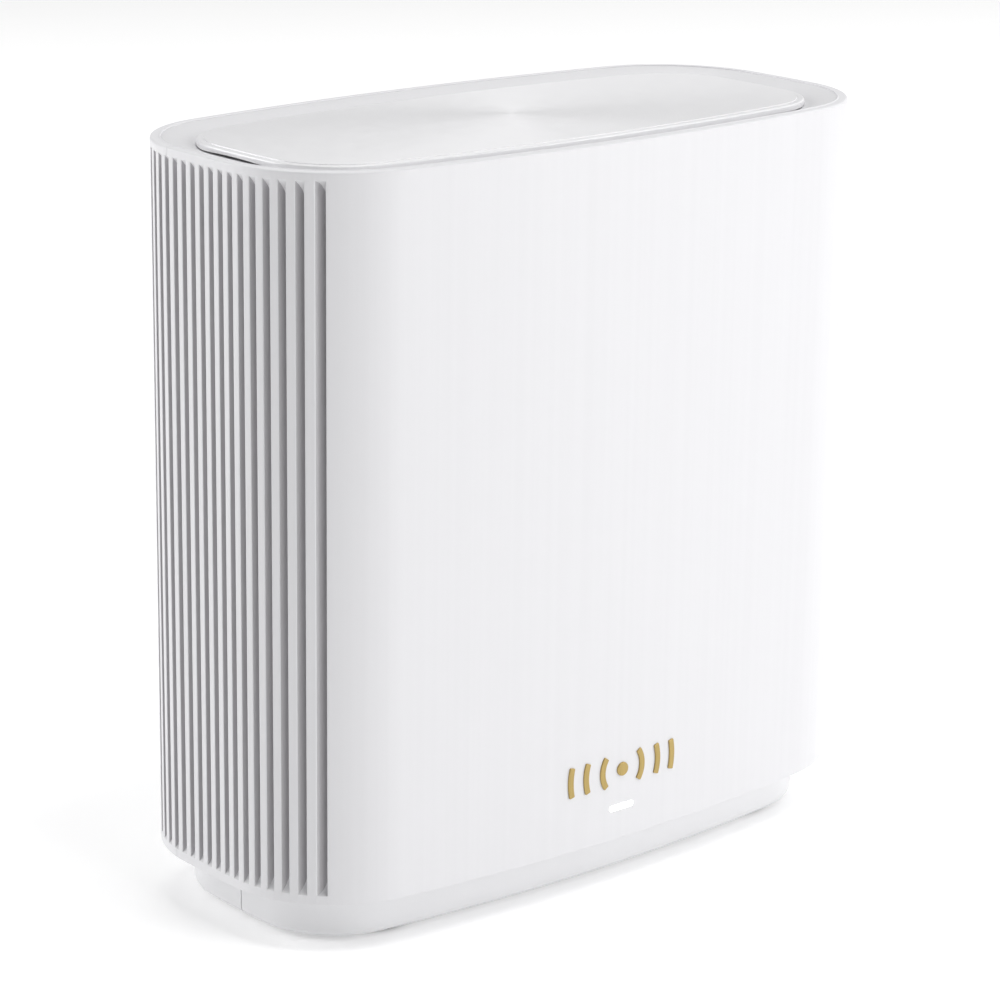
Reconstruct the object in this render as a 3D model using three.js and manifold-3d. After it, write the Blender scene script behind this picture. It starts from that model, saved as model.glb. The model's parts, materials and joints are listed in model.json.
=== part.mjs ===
// A tall, slim wireless router: a two-part shell with ribbed ends, a dished top bezel with a floating
// top plate, a recessed base, a rear port panel with three push buttons, and the board, heat sinks and
// antennas inside. Millimetres. X is the width, -Y the front, +Z up; the rubber feet stand on z = 0.
import * as THREE from 'three';
import { mergeVertices } from 'three/addons/utils/BufferGeometryUtils.js';
import Module from 'manifold-3d';

// ---- driving dimensions ---------------------------------------------------------------------------
const TOUCH = 0.05; // clearance where two pieces bear on each other
const PAST = 1; // how far a cutter runs past the face that it opens

// An outline is eight arcs: bowed front and back, bowed ends, and four round corners.
const BODY = { halfWidth: 80, halfDepth: 38.35, corner: 26.5, frontR: 461, endR: 345 };
const CAVITY = { halfWidth: 75, halfDepth: 36.15, corner: 24.6, frontR: 459, endR: 340 };
const PLATE = { halfWidth: 70.7, halfDepth: 29.05, corner: 17.2, frontR: 451.7, endR: 335.7 };
const ARC_STEPS = { front: 5, corner: 7, end: 3 };

const FOOT_PROUD = 0.8;
const BODY_BOTTOM = 11;
const BODY_TOP = 161;
const LIP_ROUND = 0.6;
const ROUND_SIDE = 1 - Math.SQRT1_2; // how far the middle of a round lies from each of its two faces
const SOFT_EDGE = 0.25;
const FLOOR = 2;
const PARTING_Y = 11.4;
const PARTING_GAP = 0.12;

const SLOTS = 19;
const SLOT_PITCH = 3;
const SLOT_SHIFT = -0.65; // the row of slots sits a little towards the front
const SLOT_WIDTH = 1.45;
const SLOT_BOTTOM = 12.95;
const SLOT_TOP = 159.2;
const RAMP = { radius: 9.56, lead: 38, start: 45, end: 90, steps: 4 }; // angles in degrees

const BEZEL = { inset: 2.4, pocket: 2.25, rest: 2.2, land: 2.65, shoulder: 5.6, hole: 13, bottom: 156.4 };
const DISH = [[4.6, 160.15], [7, 159.45], [9.3, 159.1], [13, 158.8]];
const PLATE_TOP = 160.3;
const PLATE_BOTTOM = 159.45;
const PLATE_EDGE = 0.3;
const PLATE_BORDER = 1.4; // a low border round the crowned middle
const PLATE_STEP = 0.16; // the middle stands this far above the border
const PLATE_CROWN = 0.44;
const CROWN_RINGS = [0.8, 0.55, 0.3];
const GRILLE = { inset: 12, top: 156.1, bottom: 154.6, slots: 15, slotWidth: 3, halfLength: 15, pitch: 6.8 };
const POST = { radius: 2, x: 57, y: 10, bottom: 153.6, hole: 2.4 };

const BASE = { inset: 7, wall: 2, floor: 3, round: 1.8, splitY: -1.9, splitGap: 0.3 };
const BASE_TOP = BODY_BOTTOM - TOUCH;
const FOOT = { radius: 6, x: 52, y: 20, thickness: 1.6, chamfer: 0.6, recess: 0.9, around: 0.3 };
const LABEL = { halfWidth: 27, y0: 6, y1: 25, z0: 0.88, z1: 1.18, recess: 0.45, around: 0.3 };
const SCREW = { x: 34, y: 22, head: 2.6, headHeight: 1.6, shank: 1.1, z: 1.25, top: 17.5 };
const DRIVE = { reach: 1.3, blade: 0.3 }; // half length and half width of each arm of the cross
const SCREW_BOSS = { radius: 3, hole: 1.4, headHole: 3, top: 18 };

const EMBLEM = { z: 26.55, dot: 1.5, arcs: [5.6, 10.2, 14.4], stroke: 1.35, half: 3.3, proud: 0.35 };
const EMBLEM_PIN = { radius: 0.6, hole: 0.9 };
const CARRIER = { halfWidth: 15.4, halfHeight: 2.2, front: -35.6, back: -34.6 };
const LENS = { z: 18.1, halfWidth: 3.6, halfHeight: 0.8, proud: 0.05, back: -34.8, around: 0.12 };
const GUIDE = { radius: 1.4, end: 5.2, hole: 2.4 };
const STATUS_LED = { half: 1.2, front: 5.6 };

const RECESS = { halfWidth: 58, bottom: 15, top: 37 };
const PANEL = { face: 33, back: 31, flangeBack: 29.4, clearance: 0.4, ring: 2, border: 0.9 };
const PORT_Z = 26;
const PORT_FACE = 30.7; // front of the sockets, just behind the panel
const JACK = { width: 15.4, height: 13.4, opening: 11.8, openingHeight: 8, depth: 12 };
const LATCH = { width: 6.2, height: 2.4 };
const JACKS = { wan_jack: -31.5, lan_jack_1: -15.8, lan_jack_2: -0.1, lan_jack_3: 15.6 };
const WINDOW_MARGIN = 0.4;
const USB = { x: 31.5, width: 14.2, height: 7, wall: 0.7, depth: 10, tongue: 11.4, tongueHeight: 1.8 };
const DC = { x: -44.1, half: 4, bore: 2.8, pin: 1, depth: 9 };
const TONGUE_SHORT = 1;
const BUTTONS = {
  power: { x: -52.4, cap: 3.3, face: 34.6, stem: 1.4, switchHalf: 3.7, window: 3.6 },
  wps: { x: 49.2, cap: 3.3, face: 33.8, stem: 1.4, switchHalf: 3.7, window: 3.6 },
  reset: { x: 41.3, cap: 0.8, face: 29.8, stem: 0.8, switchHalf: 2.2, window: 0.9 },
};
const COLLAR = { front: 30.6, back: 29.4, extra: 0.7 };
const STEM_END = 20;
const SWITCH = { face: 24, bore: 9, clearance: 0.4 };

const BOARD = { halfWidth: 64, bottom: 15, top: 148, front: 7, back: 8.6 };
const BEHIND_BOARD = BOARD.back + TOUCH;
const FRAME = { halfWidth: 67, bottom: 13.4, top: 152, front: 1.2, back: BOARD.front - TOUCH, bar: 8 };
const WING = { thickness: 1.6, halfDepth: 18, bottom: 24, top: 148 };
const SINK = { halfWidth: 46, bottom: 44, top: 138, plate: 3, reach: 16, fins: 14, fin: 1.6 };
const CAN = { height: 2.6, bottom: 62, top: 118 };
const CANS = {
  processor_can: { x0: -24, x1: 24, side: -1 },
  radio_can_left: { x0: -44, x1: -4, side: 1 },
  radio_can_right: { x0: 4, x1: 44, side: 1 },
};
const PAD = { thickness: 1, inset: 4 };
const ANTENNA = { thickness: 0.8, off: 0.3, near: 3, far: 16, bottom: 58, top: 112 };
const TOP_ANTENNA = { x0: 12, x1: 46, z0: 143, z1: 153 };
const BOARD_SCREW = { x: 61.5, z0: 22, z1: 143, head: 2.3, headHeight: 1.4, shank: 0.9, hole: 1.3, tip: 2.2 };

// ---- colours --------------------------------------------------------------------------------------
const look = (color, roughness, metalness = 0) => ({ color, roughness, metalness });
const WHITE = look(0xf1f1f1, 0.42);
const PLATE_WHITE = look(0xececec, 0.3);
const GOLD = look(0xc6a85f, 0.3, 0.9);
const LIGHT = look(0xffffff, 0.2);
const GREY = look(0x8f8f90, 0.5);
const BLACK = look(0x1c1c1d, 0.5);
const RUBBER = look(0x5d5d5f, 0.85);
const STEEL = look(0xb9babc, 0.35, 0.9);
const ALUMINIUM = look(0xb4b7ba, 0.45, 0.8);
const GREEN = look(0x1f5a38, 0.5);
const PINK = look(0xb98f98, 0.8);

// ---- solids ---------------------------------------------------------------------------------------
const wasm = await Module();
wasm.setup();

function solid(geometry) {
  const bare = geometry.clone();
  bare.deleteAttribute('normal');
  bare.deleteAttribute('uv');
  const merged = mergeVertices(bare, 1e-4);
  return new wasm.Manifold(new wasm.Mesh({
    numProp: 3,
    vertProperties: merged.attributes.position.array,
    triVerts: new Uint32Array(merged.index.array),
  }));
}

function geometryOf(body) {
  const mesh = body.getMesh();
  const positions = new Float32Array(mesh.numVert * 3);
  for (let i = 0; i < mesh.numVert; i++) {
    positions.set(mesh.vertProperties.subarray(i * mesh.numProp, i * mesh.numProp + 3), i * 3);
  }
  const geometry = new THREE.BufferGeometry();
  geometry.setAttribute('position', new THREE.BufferAttribute(positions, 3));
  geometry.setIndex(new THREE.BufferAttribute(mesh.triVerts, 1));
  return geometry;
}

const unite = (bodies) => bodies.reduce((all, body) => all.add(body));
const carve = (body, cutters) => cutters.reduce((left, cutter) => left.subtract(cutter), body);
const bothSigns = (make) => [-1, 1].map(make);

// A box between two corners.
function box(x0, x1, y0, y1, z0, z1) {
  const geometry = new THREE.BoxGeometry(x1 - x0, y1 - y0, z1 - z0);
  return solid(geometry.translate((x0 + x1) / 2, (y0 + y1) / 2, (z0 + z1) / 2));
}

// A cylinder along Z.
function drum(x, y, z0, z1, radius, sides = 16) {
  const geometry = new THREE.CylinderGeometry(radius, radius, z1 - z0, sides);
  return solid(geometry.rotateX(Math.PI / 2).translate(x, y, (z0 + z1) / 2));
}

// A cylinder along Y.
function rod(x, z, y0, y1, radius, sides = 16) {
  const geometry = new THREE.CylinderGeometry(radius, radius, y1 - y0, sides);
  return solid(geometry.translate(x, (y0 + y1) / 2, z));
}

// A closed line of [x, z] points carried along Y.
function prismY(points, y0, y1) {
  const shape = new THREE.Shape(points.map(([x, z]) => new THREE.Vector2(x, z)));
  const geometry = new THREE.ExtrudeGeometry(shape, { depth: y1 - y0, bevelEnabled: false });
  return solid(geometry.rotateX(Math.PI / 2).translate(0, y1, 0));
}

// ---- the eight-arc outline ------------------------------------------------------------------------
// In the quarter x > 0, y > 0: the centres of the long arc, of the end arc, and of the corner arc that
// touches both.
function arcCentres({ halfWidth, halfDepth, corner, frontR, endR }) {
  const front = new THREE.Vector2(0, halfDepth - frontR);
  const end = new THREE.Vector2(halfWidth - endR, 0);
  const apart = end.distanceTo(front);
  const along = ((frontR - corner) ** 2 - (endR - corner) ** 2 + apart ** 2) / (2 * apart);
  const off = Math.sqrt((frontR - corner) ** 2 - along ** 2);
  const unit = end.clone().sub(front).divideScalar(apart);
  const corners = bothSigns((sign) => new THREE.Vector2(
    front.x + along * unit.x - sign * off * unit.y,
    front.y + along * unit.y + sign * off * unit.x,
  ));
  return { front, end, corner: corners.find(({ x, y }) => x > 0 && y > 0) };
}

// The quarter from the end point on +X to the middle of the long side on +Y.
function quarter(shape, inset) {
  const centres = arcCentres(shape);
  const bearing = (centre) => Math.atan2(centres.corner.x - centre.x, centres.corner.y - centre.y);
  const toFront = bearing(centres.front);
  const toEnd = bearing(centres.end);
  const arc = (centre, radius, from, to, steps) => Array.from({ length: steps }, (_, i) => {
    const angle = from + (to - from) * i / steps;
    return [centre.x + (radius - inset) * Math.sin(angle), centre.y + (radius - inset) * Math.cos(angle)];
  });
  return [
    ...arc(centres.end, shape.endR, Math.PI / 2, toEnd, ARC_STEPS.end),
    ...arc(centres.corner, shape.corner, toEnd, toFront, ARC_STEPS.corner),
    ...arc(centres.front, shape.frontR, toFront, 0, ARC_STEPS.front),
    [0, shape.halfDepth - inset],
  ];
}

// The whole outline, anticlockwise from above.
function outline(shape, inset) {
  const first = quarter(shape, inset);
  const turned = [...first].reverse();
  return [
    ...first.slice(0, -1),
    ...turned.slice(0, -1).map(([x, y]) => [-x, y]),
    ...first.slice(0, -1).map(([x, y]) => [-x, -y]),
    ...turned.slice(0, -1).map(([x, y]) => [x, -y]),
  ];
}

// Where the end of the outline stands at a given y.
function endX(shape, y) {
  const { corner, end } = arcCentres(shape);
  const side = Math.abs(y);
  const touch = shape.endR * corner.y / (shape.endR - shape.corner);
  return side < touch
    ? end.x + Math.sqrt(shape.endR ** 2 - side ** 2)
    : corner.x + Math.sqrt(shape.corner ** 2 - (side - corner.y) ** 2);
}

// Outlines stacked along a profile of [inset, z, scale], capped at both ends or closed on itself.
function loft(shape, profile, closed = false) {
  const rings = profile.map(([inset, z, scale = 1]) =>
    outline(shape, inset).map(([x, y]) => [x * scale, y * scale, z]));
  const count = rings[0].length;
  const points = rings.flat();
  const faces = [];
  const last = closed ? rings.length : rings.length - 1;
  for (let k = 0; k < last; k++) {
    const low = k * count;
    const high = ((k + 1) % rings.length) * count;
    for (let i = 0; i < count; i++) {
      const next = (i + 1) % count;
      faces.push(low + i, low + next, high + next, low + i, high + next, high + i);
    }
  }
  if (!closed) {
    const top = (rings.length - 1) * count;
    points.push([0, 0, profile[0][1]], [0, 0, profile.at(-1)[1]]);
    for (let i = 0; i < count; i++) {
      const next = (i + 1) % count;
      faces.push(points.length - 2, next, i, points.length - 1, top + i, top + next);
    }
  }
  const geometry = new THREE.BufferGeometry();
  geometry.setAttribute('position', new THREE.Float32BufferAttribute(points.flat(), 3));
  geometry.setIndex(faces);
  return solid(geometry);
}

// ---- shell ----------------------------------------------------------------------------------------
// One vertical slot in an end: square walls, and a curved ramp that runs out at the top and the bottom.
function slotCutter(side, y) {
  const x = endX(BODY, y);
  const { radius, lead, start, end, steps } = RAMP;
  const angles = [lead, ...Array.from({ length: steps + 1 }, (_, i) => start + (end - start) * i / steps)];
  const bend = THREE.MathUtils.degToRad(start);
  const ramp = angles.map((degrees) => {
    const angle = THREE.MathUtils.degToRad(degrees);
    return [x - radius * (Math.sin(angle) - Math.sin(bend)), radius * (Math.cos(bend) - Math.cos(angle))];
  });
  const outside = x + 2 * SLOT_WIDTH;
  const points = [
    [outside, SLOT_TOP - ramp[0][1]],
    ...ramp.map(([at, drop]) => [at, SLOT_TOP - drop]),
    ...[...ramp].reverse().map(([at, drop]) => [at, SLOT_BOTTOM + drop]),
    [outside, SLOT_BOTTOM + ramp[0][1]],
  ];
  const turned = side > 0 ? points : [...points].reverse();
  return prismY(turned.map(([at, z]) => [side * at, z]), y - SLOT_WIDTH / 2, y + SLOT_WIDTH / 2);
}

function slotCutters() {
  const places = Array.from({ length: SLOTS }, (_, i) => SLOT_SHIFT + (i - (SLOTS - 1) / 2) * SLOT_PITCH);
  return places.flatMap((y) => bothSigns((side) => slotCutter(side, y)));
}

// A shallow stadium through the front wall for the light bar.
function lightBar(y0, y1, around) {
  const half = LENS.halfHeight + around;
  const straight = LENS.halfWidth - LENS.halfHeight;
  return unite([
    box(-straight, straight, y0, y1, LENS.z - half, LENS.z + half),
    rod(-straight, LENS.z, y0, y1, half),
    rod(straight, LENS.z, y0, y1, half),
  ]);
}

// The shell before it is parted: walls, floor, lip, slots and screw bosses.
function wholeShell() {
  const skin = loft(BODY, [
    [SOFT_EDGE, BODY_BOTTOM],
    [0, BODY_BOTTOM + SOFT_EDGE],
    [0, BODY_TOP - LIP_ROUND],
    [LIP_ROUND * ROUND_SIDE, BODY_TOP - LIP_ROUND * ROUND_SIDE],
    [LIP_ROUND, BODY_TOP],
  ]);
  const cavity = loft(CAVITY, [[0, BODY_BOTTOM + FLOOR], [0, BODY_TOP + PAST]]);
  const pocket = loft(BODY, [[BEZEL.pocket, BODY_TOP - BEZEL.rest], [BEZEL.pocket, BODY_TOP + PAST]]);
  const bosses = screwPlaces().map(([x, y]) =>
    drum(x, y, BODY_BOTTOM + FLOOR / 2, SCREW_BOSS.top, SCREW_BOSS.radius));
  const holes = screwPlaces().map(([x, y]) =>
    drum(x, y, BODY_BOTTOM - PAST, SCREW_BOSS.top + PAST, SCREW_BOSS.hole, 12));
  const hollow = carve(skin, [cavity, pocket, ...slotCutters()]);
  return carve(unite([hollow, ...bosses]), holes);
}

const frontOf = (y) => box(-100, 100, -100, y, -10, 200);
const behind = (y) => box(-100, 100, y, 100, -10, 200);

function frontShell(shell) {
  const wall = [-BODY.halfDepth - PAST, CARRIER.front];
  const pinHoles = emblemPlaces().map(({ x }) => rod(x, EMBLEM.z, ...wall, EMBLEM_PIN.hole, 12));
  const half = shell.intersect(frontOf(PARTING_Y - PARTING_GAP / 2));
  return carve(half, [...pinHoles, lightBar(...wall, LENS.around)]);
}

function rearCover(shell) {
  const half = shell.intersect(behind(PARTING_Y + PARTING_GAP / 2));
  const { halfWidth, bottom, top } = RECESS;
  return carve(half, [box(-halfWidth, halfWidth, PANEL.flangeBack, BODY.halfDepth + PAST, bottom, top)]);
}

// ---- top ------------------------------------------------------------------------------------------
function topBezel() {
  return loft(BODY, [
    [BEZEL.inset, BODY_TOP - BEZEL.rest + TOUCH],
    [BEZEL.inset, BODY_TOP],
    [BEZEL.land, BODY_TOP],
    ...DISH,
    [BEZEL.hole, BEZEL.bottom],
    [BEZEL.shoulder, BEZEL.bottom],
    [BEZEL.shoulder, BODY_TOP - BEZEL.rest + TOUCH],
  ], true);
}

const postPlaces = () => bothSigns((i) => bothSigns((j) => [i * POST.x, j * POST.y])).flat();

function topPlate() {
  const inner = PLATE_TOP + PLATE_STEP;
  const slab = loft(PLATE, [
    [0, PLATE_BOTTOM],
    [0, PLATE_TOP - PLATE_EDGE],
    [PLATE_EDGE, PLATE_TOP],
    [PLATE_BORDER, PLATE_TOP],
    [PLATE_BORDER + PLATE_STEP, inner],
    ...CROWN_RINGS.map((scale) => [PLATE_BORDER + PLATE_STEP, inner + PLATE_CROWN * (1 - scale ** 2), scale]),
  ]);
  const posts = postPlaces().map(([x, y]) =>
    drum(x, y, POST.bottom, (PLATE_BOTTOM + PLATE_TOP) / 2, POST.radius, 12));
  return unite([slab, ...posts]);
}

function ventGrille() {
  const { inset, top, bottom, slots, slotWidth, halfLength, pitch } = GRILLE;
  const sheet = loft(BODY, [[inset, bottom], [inset, top]]);
  const vents = Array.from({ length: slots }, (_, i) => {
    const x = (i - (slots - 1) / 2) * pitch;
    return box(x - slotWidth / 2, x + slotWidth / 2, -halfLength, halfLength, bottom - PAST, top + PAST);
  });
  const holes = postPlaces().map(([x, y]) => drum(x, y, bottom - PAST, top + PAST, POST.hole, 12));
  return carve(sheet, [...vents, ...holes]);
}

// ---- base -----------------------------------------------------------------------------------------
const screwPlaces = () => bothSigns((i) => bothSigns((j) => [i * SCREW.x, j * SCREW.y])).flat();
const footPlaces = () => bothSigns((i) => bothSigns((j) => [i * FOOT.x, j * FOOT.y])).flat();

// The base before it is split: a tray with a rounded lower edge, stand-offs and recesses.
function wholeBase() {
  const { inset, wall, floor, round } = BASE;
  const tray = carve(loft(BODY, [
    [inset + round, FOOT_PROUD],
    [inset + round * ROUND_SIDE, FOOT_PROUD + round * ROUND_SIDE],
    [inset, FOOT_PROUD + round],
    [inset, BASE_TOP],
  ]), [loft(BODY, [[inset + wall, FOOT_PROUD + floor], [inset + wall, BASE_TOP + PAST]])]);
  const tubes = screwPlaces().map(([x, y]) =>
    drum(x, y, FOOT_PROUD + floor / 2, BASE_TOP, SCREW_BOSS.radius + wall / 2));
  const low = FOOT_PROUD - PAST;
  const headTop = SCREW.z + SCREW.headHeight + TOUCH;
  const cuts = [
    ...screwPlaces().map(([x, y]) => drum(x, y, low, BASE_TOP + PAST, SCREW_BOSS.hole, 12)),
    ...screwPlaces().map(([x, y]) => drum(x, y, low, headTop, SCREW_BOSS.headHole)),
    ...footPlaces().map(([x, y]) => drum(x, y, low, FOOT_PROUD + FOOT.recess, FOOT.radius + FOOT.around, 24)),
    box(-LABEL.halfWidth - LABEL.around, LABEL.halfWidth + LABEL.around, LABEL.y0 - LABEL.around,
      LABEL.y1 + LABEL.around, low, FOOT_PROUD + LABEL.recess),
  ];
  return carve(unite([tray, ...tubes]), cuts);
}

function foot(x, y) {
  const { radius, thickness, chamfer } = FOOT;
  const profile = [[0, 0], [radius - chamfer, 0], [radius, chamfer], [radius, thickness], [0, thickness]];
  const geometry = new THREE.LatheGeometry(profile.map(([r, h]) => new THREE.Vector2(r, h)), 24);
  return solid(geometry.rotateX(Math.PI / 2).translate(x, y, 0));
}

function baseScrew(x, y) {
  const headTop = SCREW.z + SCREW.headHeight;
  const driveTop = SCREW.z + SCREW.headHeight / 2;
  return unite([
    drum(x, y, SCREW.z, headTop, SCREW.head),
    drum(x, y, headTop - TOUCH, SCREW.top, SCREW.shank, 10),
  ]).subtract(unite([
    box(x - DRIVE.reach, x + DRIVE.reach, y - DRIVE.blade, y + DRIVE.blade, SCREW.z - PAST, driveTop),
    box(x - DRIVE.blade, x + DRIVE.blade, y - DRIVE.reach, y + DRIVE.reach, SCREW.z - PAST, driveTop),
  ]));
}

// ---- front emblem and light -----------------------------------------------------------------------
// How far the bowed front has fallen back at x.
const frontFall = (x) => BODY.frontR - Math.sqrt(BODY.frontR ** 2 - x ** 2);

function arcBand(radius, side) {
  const spread = Math.asin(EMBLEM.half / radius);
  const steps = 6;
  const edge = (r) => Array.from({ length: steps + 1 }, (_, i) => {
    const angle = -spread + 2 * spread * i / steps;
    return [side * r * Math.cos(angle), EMBLEM.z + r * Math.sin(angle)];
  });
  const points = [...edge(radius + EMBLEM.stroke / 2), ...edge(radius - EMBLEM.stroke / 2).reverse()];
  return side > 0 ? points : points.reverse();
}

// A dot and the waves on each side of it.
function emblemPlaces() {
  const wave = (radius) => bothSigns((side) => ({ x: side * radius, radius, side }));
  return [{ x: 0 }, ...EMBLEM.arcs.flatMap(wave)];
}

function emblem() {
  const pieces = emblemPlaces().map(({ x, radius, side }) => {
    const nearX = radius ? radius - EMBLEM.stroke : 0;
    const back = -BODY.halfDepth + frontFall(nearX) - TOUCH;
    const mark = radius
      ? prismY(arcBand(radius, side), back - EMBLEM.proud, back)
      : rod(0, EMBLEM.z, back - EMBLEM.proud, back, EMBLEM.dot, 20);
    return mark.add(rod(x, EMBLEM.z, back - EMBLEM.proud / 2, CARRIER.back - TOUCH, EMBLEM_PIN.radius, 8));
  });
  const { halfWidth, halfHeight, front, back } = CARRIER;
  const carrier = box(-halfWidth, halfWidth, front, back, EMBLEM.z - halfHeight, EMBLEM.z + halfHeight);
  return unite([...pieces, carrier]);
}

function lightGuide() {
  return unite([
    lightBar(-BODY.halfDepth - LENS.proud, LENS.back, 0),
    rod(0, LENS.z, LENS.back - TOUCH, GUIDE.end, GUIDE.radius, 12),
  ]);
}

// ---- rear ports -----------------------------------------------------------------------------------
function portPanel() {
  const { face, back, flangeBack, clearance, ring, border } = PANEL;
  const half = RECESS.halfWidth - clearance;
  const [low, high] = [RECESS.bottom + clearance, RECESS.top - clearance];
  const flange = box(-half - ring, half + ring, flangeBack, back, low - ring / 2, high + ring / 2)
    .subtract(box(-half + border, half - border, flangeBack - PAST, face, low + border, high - border));
  const jackHalf = JACK.opening / 2 + WINDOW_MARGIN;
  const jackTall = (JACK.openingHeight + LATCH.height) / 2 + WINDOW_MARGIN;
  const windows = [
    ...Object.values(JACKS).map((x) =>
      box(x - jackHalf, x + jackHalf, flangeBack, face + PAST, PORT_Z - jackTall, PORT_Z + jackTall)),
    box(USB.x - USB.width / 2, USB.x + USB.width / 2, flangeBack, face + PAST,
      PORT_Z - USB.height / 2, PORT_Z + USB.height / 2),
    rod(DC.x, PORT_Z, flangeBack, face + PAST, DC.bore + WINDOW_MARGIN, 20),
    ...Object.values(BUTTONS).map(({ x, window }) => rod(x, PORT_Z, flangeBack, face + PAST, window, 20)),
  ];
  const plate = box(-half, half, back - TOUCH, face, low, high);
  return carve(unite([plate, flange]), windows);
}

function jack(x) {
  const low = PORT_Z - (JACK.openingHeight + LATCH.height) / 2;
  const inside = [PORT_FACE - JACK.depth, PORT_FACE + PAST];
  return carve(
    box(x - JACK.width / 2, x + JACK.width / 2, BEHIND_BOARD, PORT_FACE,
      PORT_Z - JACK.height / 2, PORT_Z + JACK.height / 2),
    [
      box(x - JACK.opening / 2, x + JACK.opening / 2, ...inside,
        low + LATCH.height, low + LATCH.height + JACK.openingHeight),
      box(x - LATCH.width / 2, x + LATCH.width / 2, ...inside, low, low + LATCH.height + TOUCH),
    ],
  );
}

function usbSocket() {
  const { x, width, height, wall, depth, tongue, tongueHeight } = USB;
  const mouth = PORT_FACE - depth;
  const can = box(x - width / 2, x + width / 2, BEHIND_BOARD, PORT_FACE,
    PORT_Z - height / 2, PORT_Z + height / 2)
    .subtract(box(x - width / 2 + wall, x + width / 2 - wall, mouth, PORT_FACE + PAST,
      PORT_Z - height / 2 + wall, PORT_Z + height / 2 - wall));
  return can.add(box(x - tongue / 2, x + tongue / 2, mouth - TOUCH, PORT_FACE - TONGUE_SHORT,
    PORT_Z, PORT_Z + tongueHeight));
}

function dcInlet() {
  const { x, half, bore, pin, depth } = DC;
  const mouth = PORT_FACE - depth;
  return box(x - half, x + half, BEHIND_BOARD, PORT_FACE, PORT_Z - half, PORT_Z + half)
    .subtract(rod(x, PORT_Z, mouth, PORT_FACE + PAST, bore, 20))
    .add(rod(x, PORT_Z, mouth - TOUCH, PORT_FACE - TONGUE_SHORT, pin, 10));
}

function pushButton({ x, cap, face, stem }) {
  const pieces = [
    rod(x, PORT_Z, COLLAR.back - TOUCH, face, cap, 20),
    rod(x, PORT_Z, STEM_END, COLLAR.back, stem, 12),
  ];
  if (cap > stem) pieces.push(rod(x, PORT_Z, COLLAR.back, COLLAR.front, cap + COLLAR.extra, 20));
  return unite(pieces);
}

function pushSwitch({ x, stem, switchHalf }) {
  const [low, high] = [PORT_Z - switchHalf, PORT_Z + switchHalf];
  return box(x - switchHalf, x + switchHalf, BEHIND_BOARD, SWITCH.face, low, high)
    .subtract(rod(x, PORT_Z, SWITCH.face - SWITCH.bore, SWITCH.face + PAST, stem + SWITCH.clearance, 12));
}

// ---- inside ---------------------------------------------------------------------------------------
const boardScrewPlaces = () => bothSigns((side) =>
  [BOARD_SCREW.z0, BOARD_SCREW.z1].map((z) => [side * BOARD_SCREW.x, z])).flat();

function mainBoard() {
  const { halfWidth, bottom, top, front, back } = BOARD;
  return carve(box(-halfWidth, halfWidth, front, back, bottom, top),
    boardScrewPlaces().map(([x, z]) => rod(x, z, front - PAST, back + PAST, BOARD_SCREW.hole, 12)));
}

function boardScrew(x, z) {
  const { head, headHeight, shank, tip } = BOARD_SCREW;
  return unite([
    rod(x, z, BEHIND_BOARD, BEHIND_BOARD + headHeight, head, 14),
    rod(x, z, tip, BEHIND_BOARD + TOUCH, shank, 8),
  ]);
}

// A picture-frame behind the board's front, with a wing at each end for the antennas.
function innerFrame() {
  const { halfWidth, bottom, top, front, back, bar } = FRAME;
  const ring = box(-halfWidth, halfWidth, front, back, bottom, top)
    .subtract(box(-halfWidth + bar, halfWidth - bar, front - PAST, back + PAST, bottom + bar, top - bar));
  const wings = bothSigns((side) => {
    const [near, far] = [halfWidth - WING.thickness, halfWidth].map((x) => side * x).sort((a, b) => a - b);
    return box(near, far, -WING.halfDepth, WING.halfDepth, WING.bottom, WING.top);
  });
  return carve(unite([ring, ...wings]), [
    ...boardScrewPlaces().map(([x, z]) => rod(x, z, front - PAST, back + PAST, BOARD_SCREW.hole, 12)),
    rod(0, LENS.z, front - PAST, back + PAST, GUIDE.hole, 12),
  ]);
}

// A plate with fins standing out of it, side -1 towards the front and 1 towards the back.
function heatsink(side) {
  const start = side < 0 ? BOARD.front : BOARD.back;
  const foot0 = start + side * (TOUCH + CAN.height + TOUCH + PAD.thickness + TOUCH);
  const foot1 = foot0 + side * SINK.plate;
  const tip = foot1 + side * SINK.reach;
  const slab = (x0, x1, a, b) => box(x0, x1, Math.min(a, b), Math.max(a, b), SINK.bottom, SINK.top);
  const step = (2 * SINK.halfWidth - SINK.fin) / (SINK.fins - 1);
  const fins = Array.from({ length: SINK.fins }, (_, i) => {
    const x = -SINK.halfWidth + i * step;
    return slab(x, x + SINK.fin, foot1 - side * TOUCH, tip);
  });
  return unite([slab(-SINK.halfWidth, SINK.halfWidth, foot0, foot1), ...fins]);
}

// A layer on the board, from one height above it to another.
function layer({ x0, x1, side }, from, to, inset) {
  const start = side < 0 ? BOARD.front : BOARD.back;
  const [near, far] = [start + side * from, start + side * to].sort((a, b) => a - b);
  return box(x0 + inset, x1 - inset, near, far, CAN.bottom + inset, CAN.top - inset);
}

function endAntenna(side, towards) {
  const [x0, x1] = [FRAME.halfWidth + ANTENNA.off, FRAME.halfWidth + ANTENNA.off + ANTENNA.thickness]
    .map((x) => side * x).sort((a, b) => a - b);
  const [y0, y1] = [ANTENNA.near, ANTENNA.far].map((y) => towards * y).sort((a, b) => a - b);
  return box(x0, x1, y0, y1, ANTENNA.bottom, ANTENNA.top);
}

function topAntenna(side) {
  const back = FRAME.front - ANTENNA.off;
  const [x0, x1] = [TOP_ANTENNA.x0, TOP_ANTENNA.x1].map((x) => side * x).sort((a, b) => a - b);
  return box(x0, x1, back - ANTENNA.thickness, back, TOP_ANTENNA.z0, TOP_ANTENNA.z1);
}

// ---- assembly -------------------------------------------------------------------------------------
const group = new THREE.Group();

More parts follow.
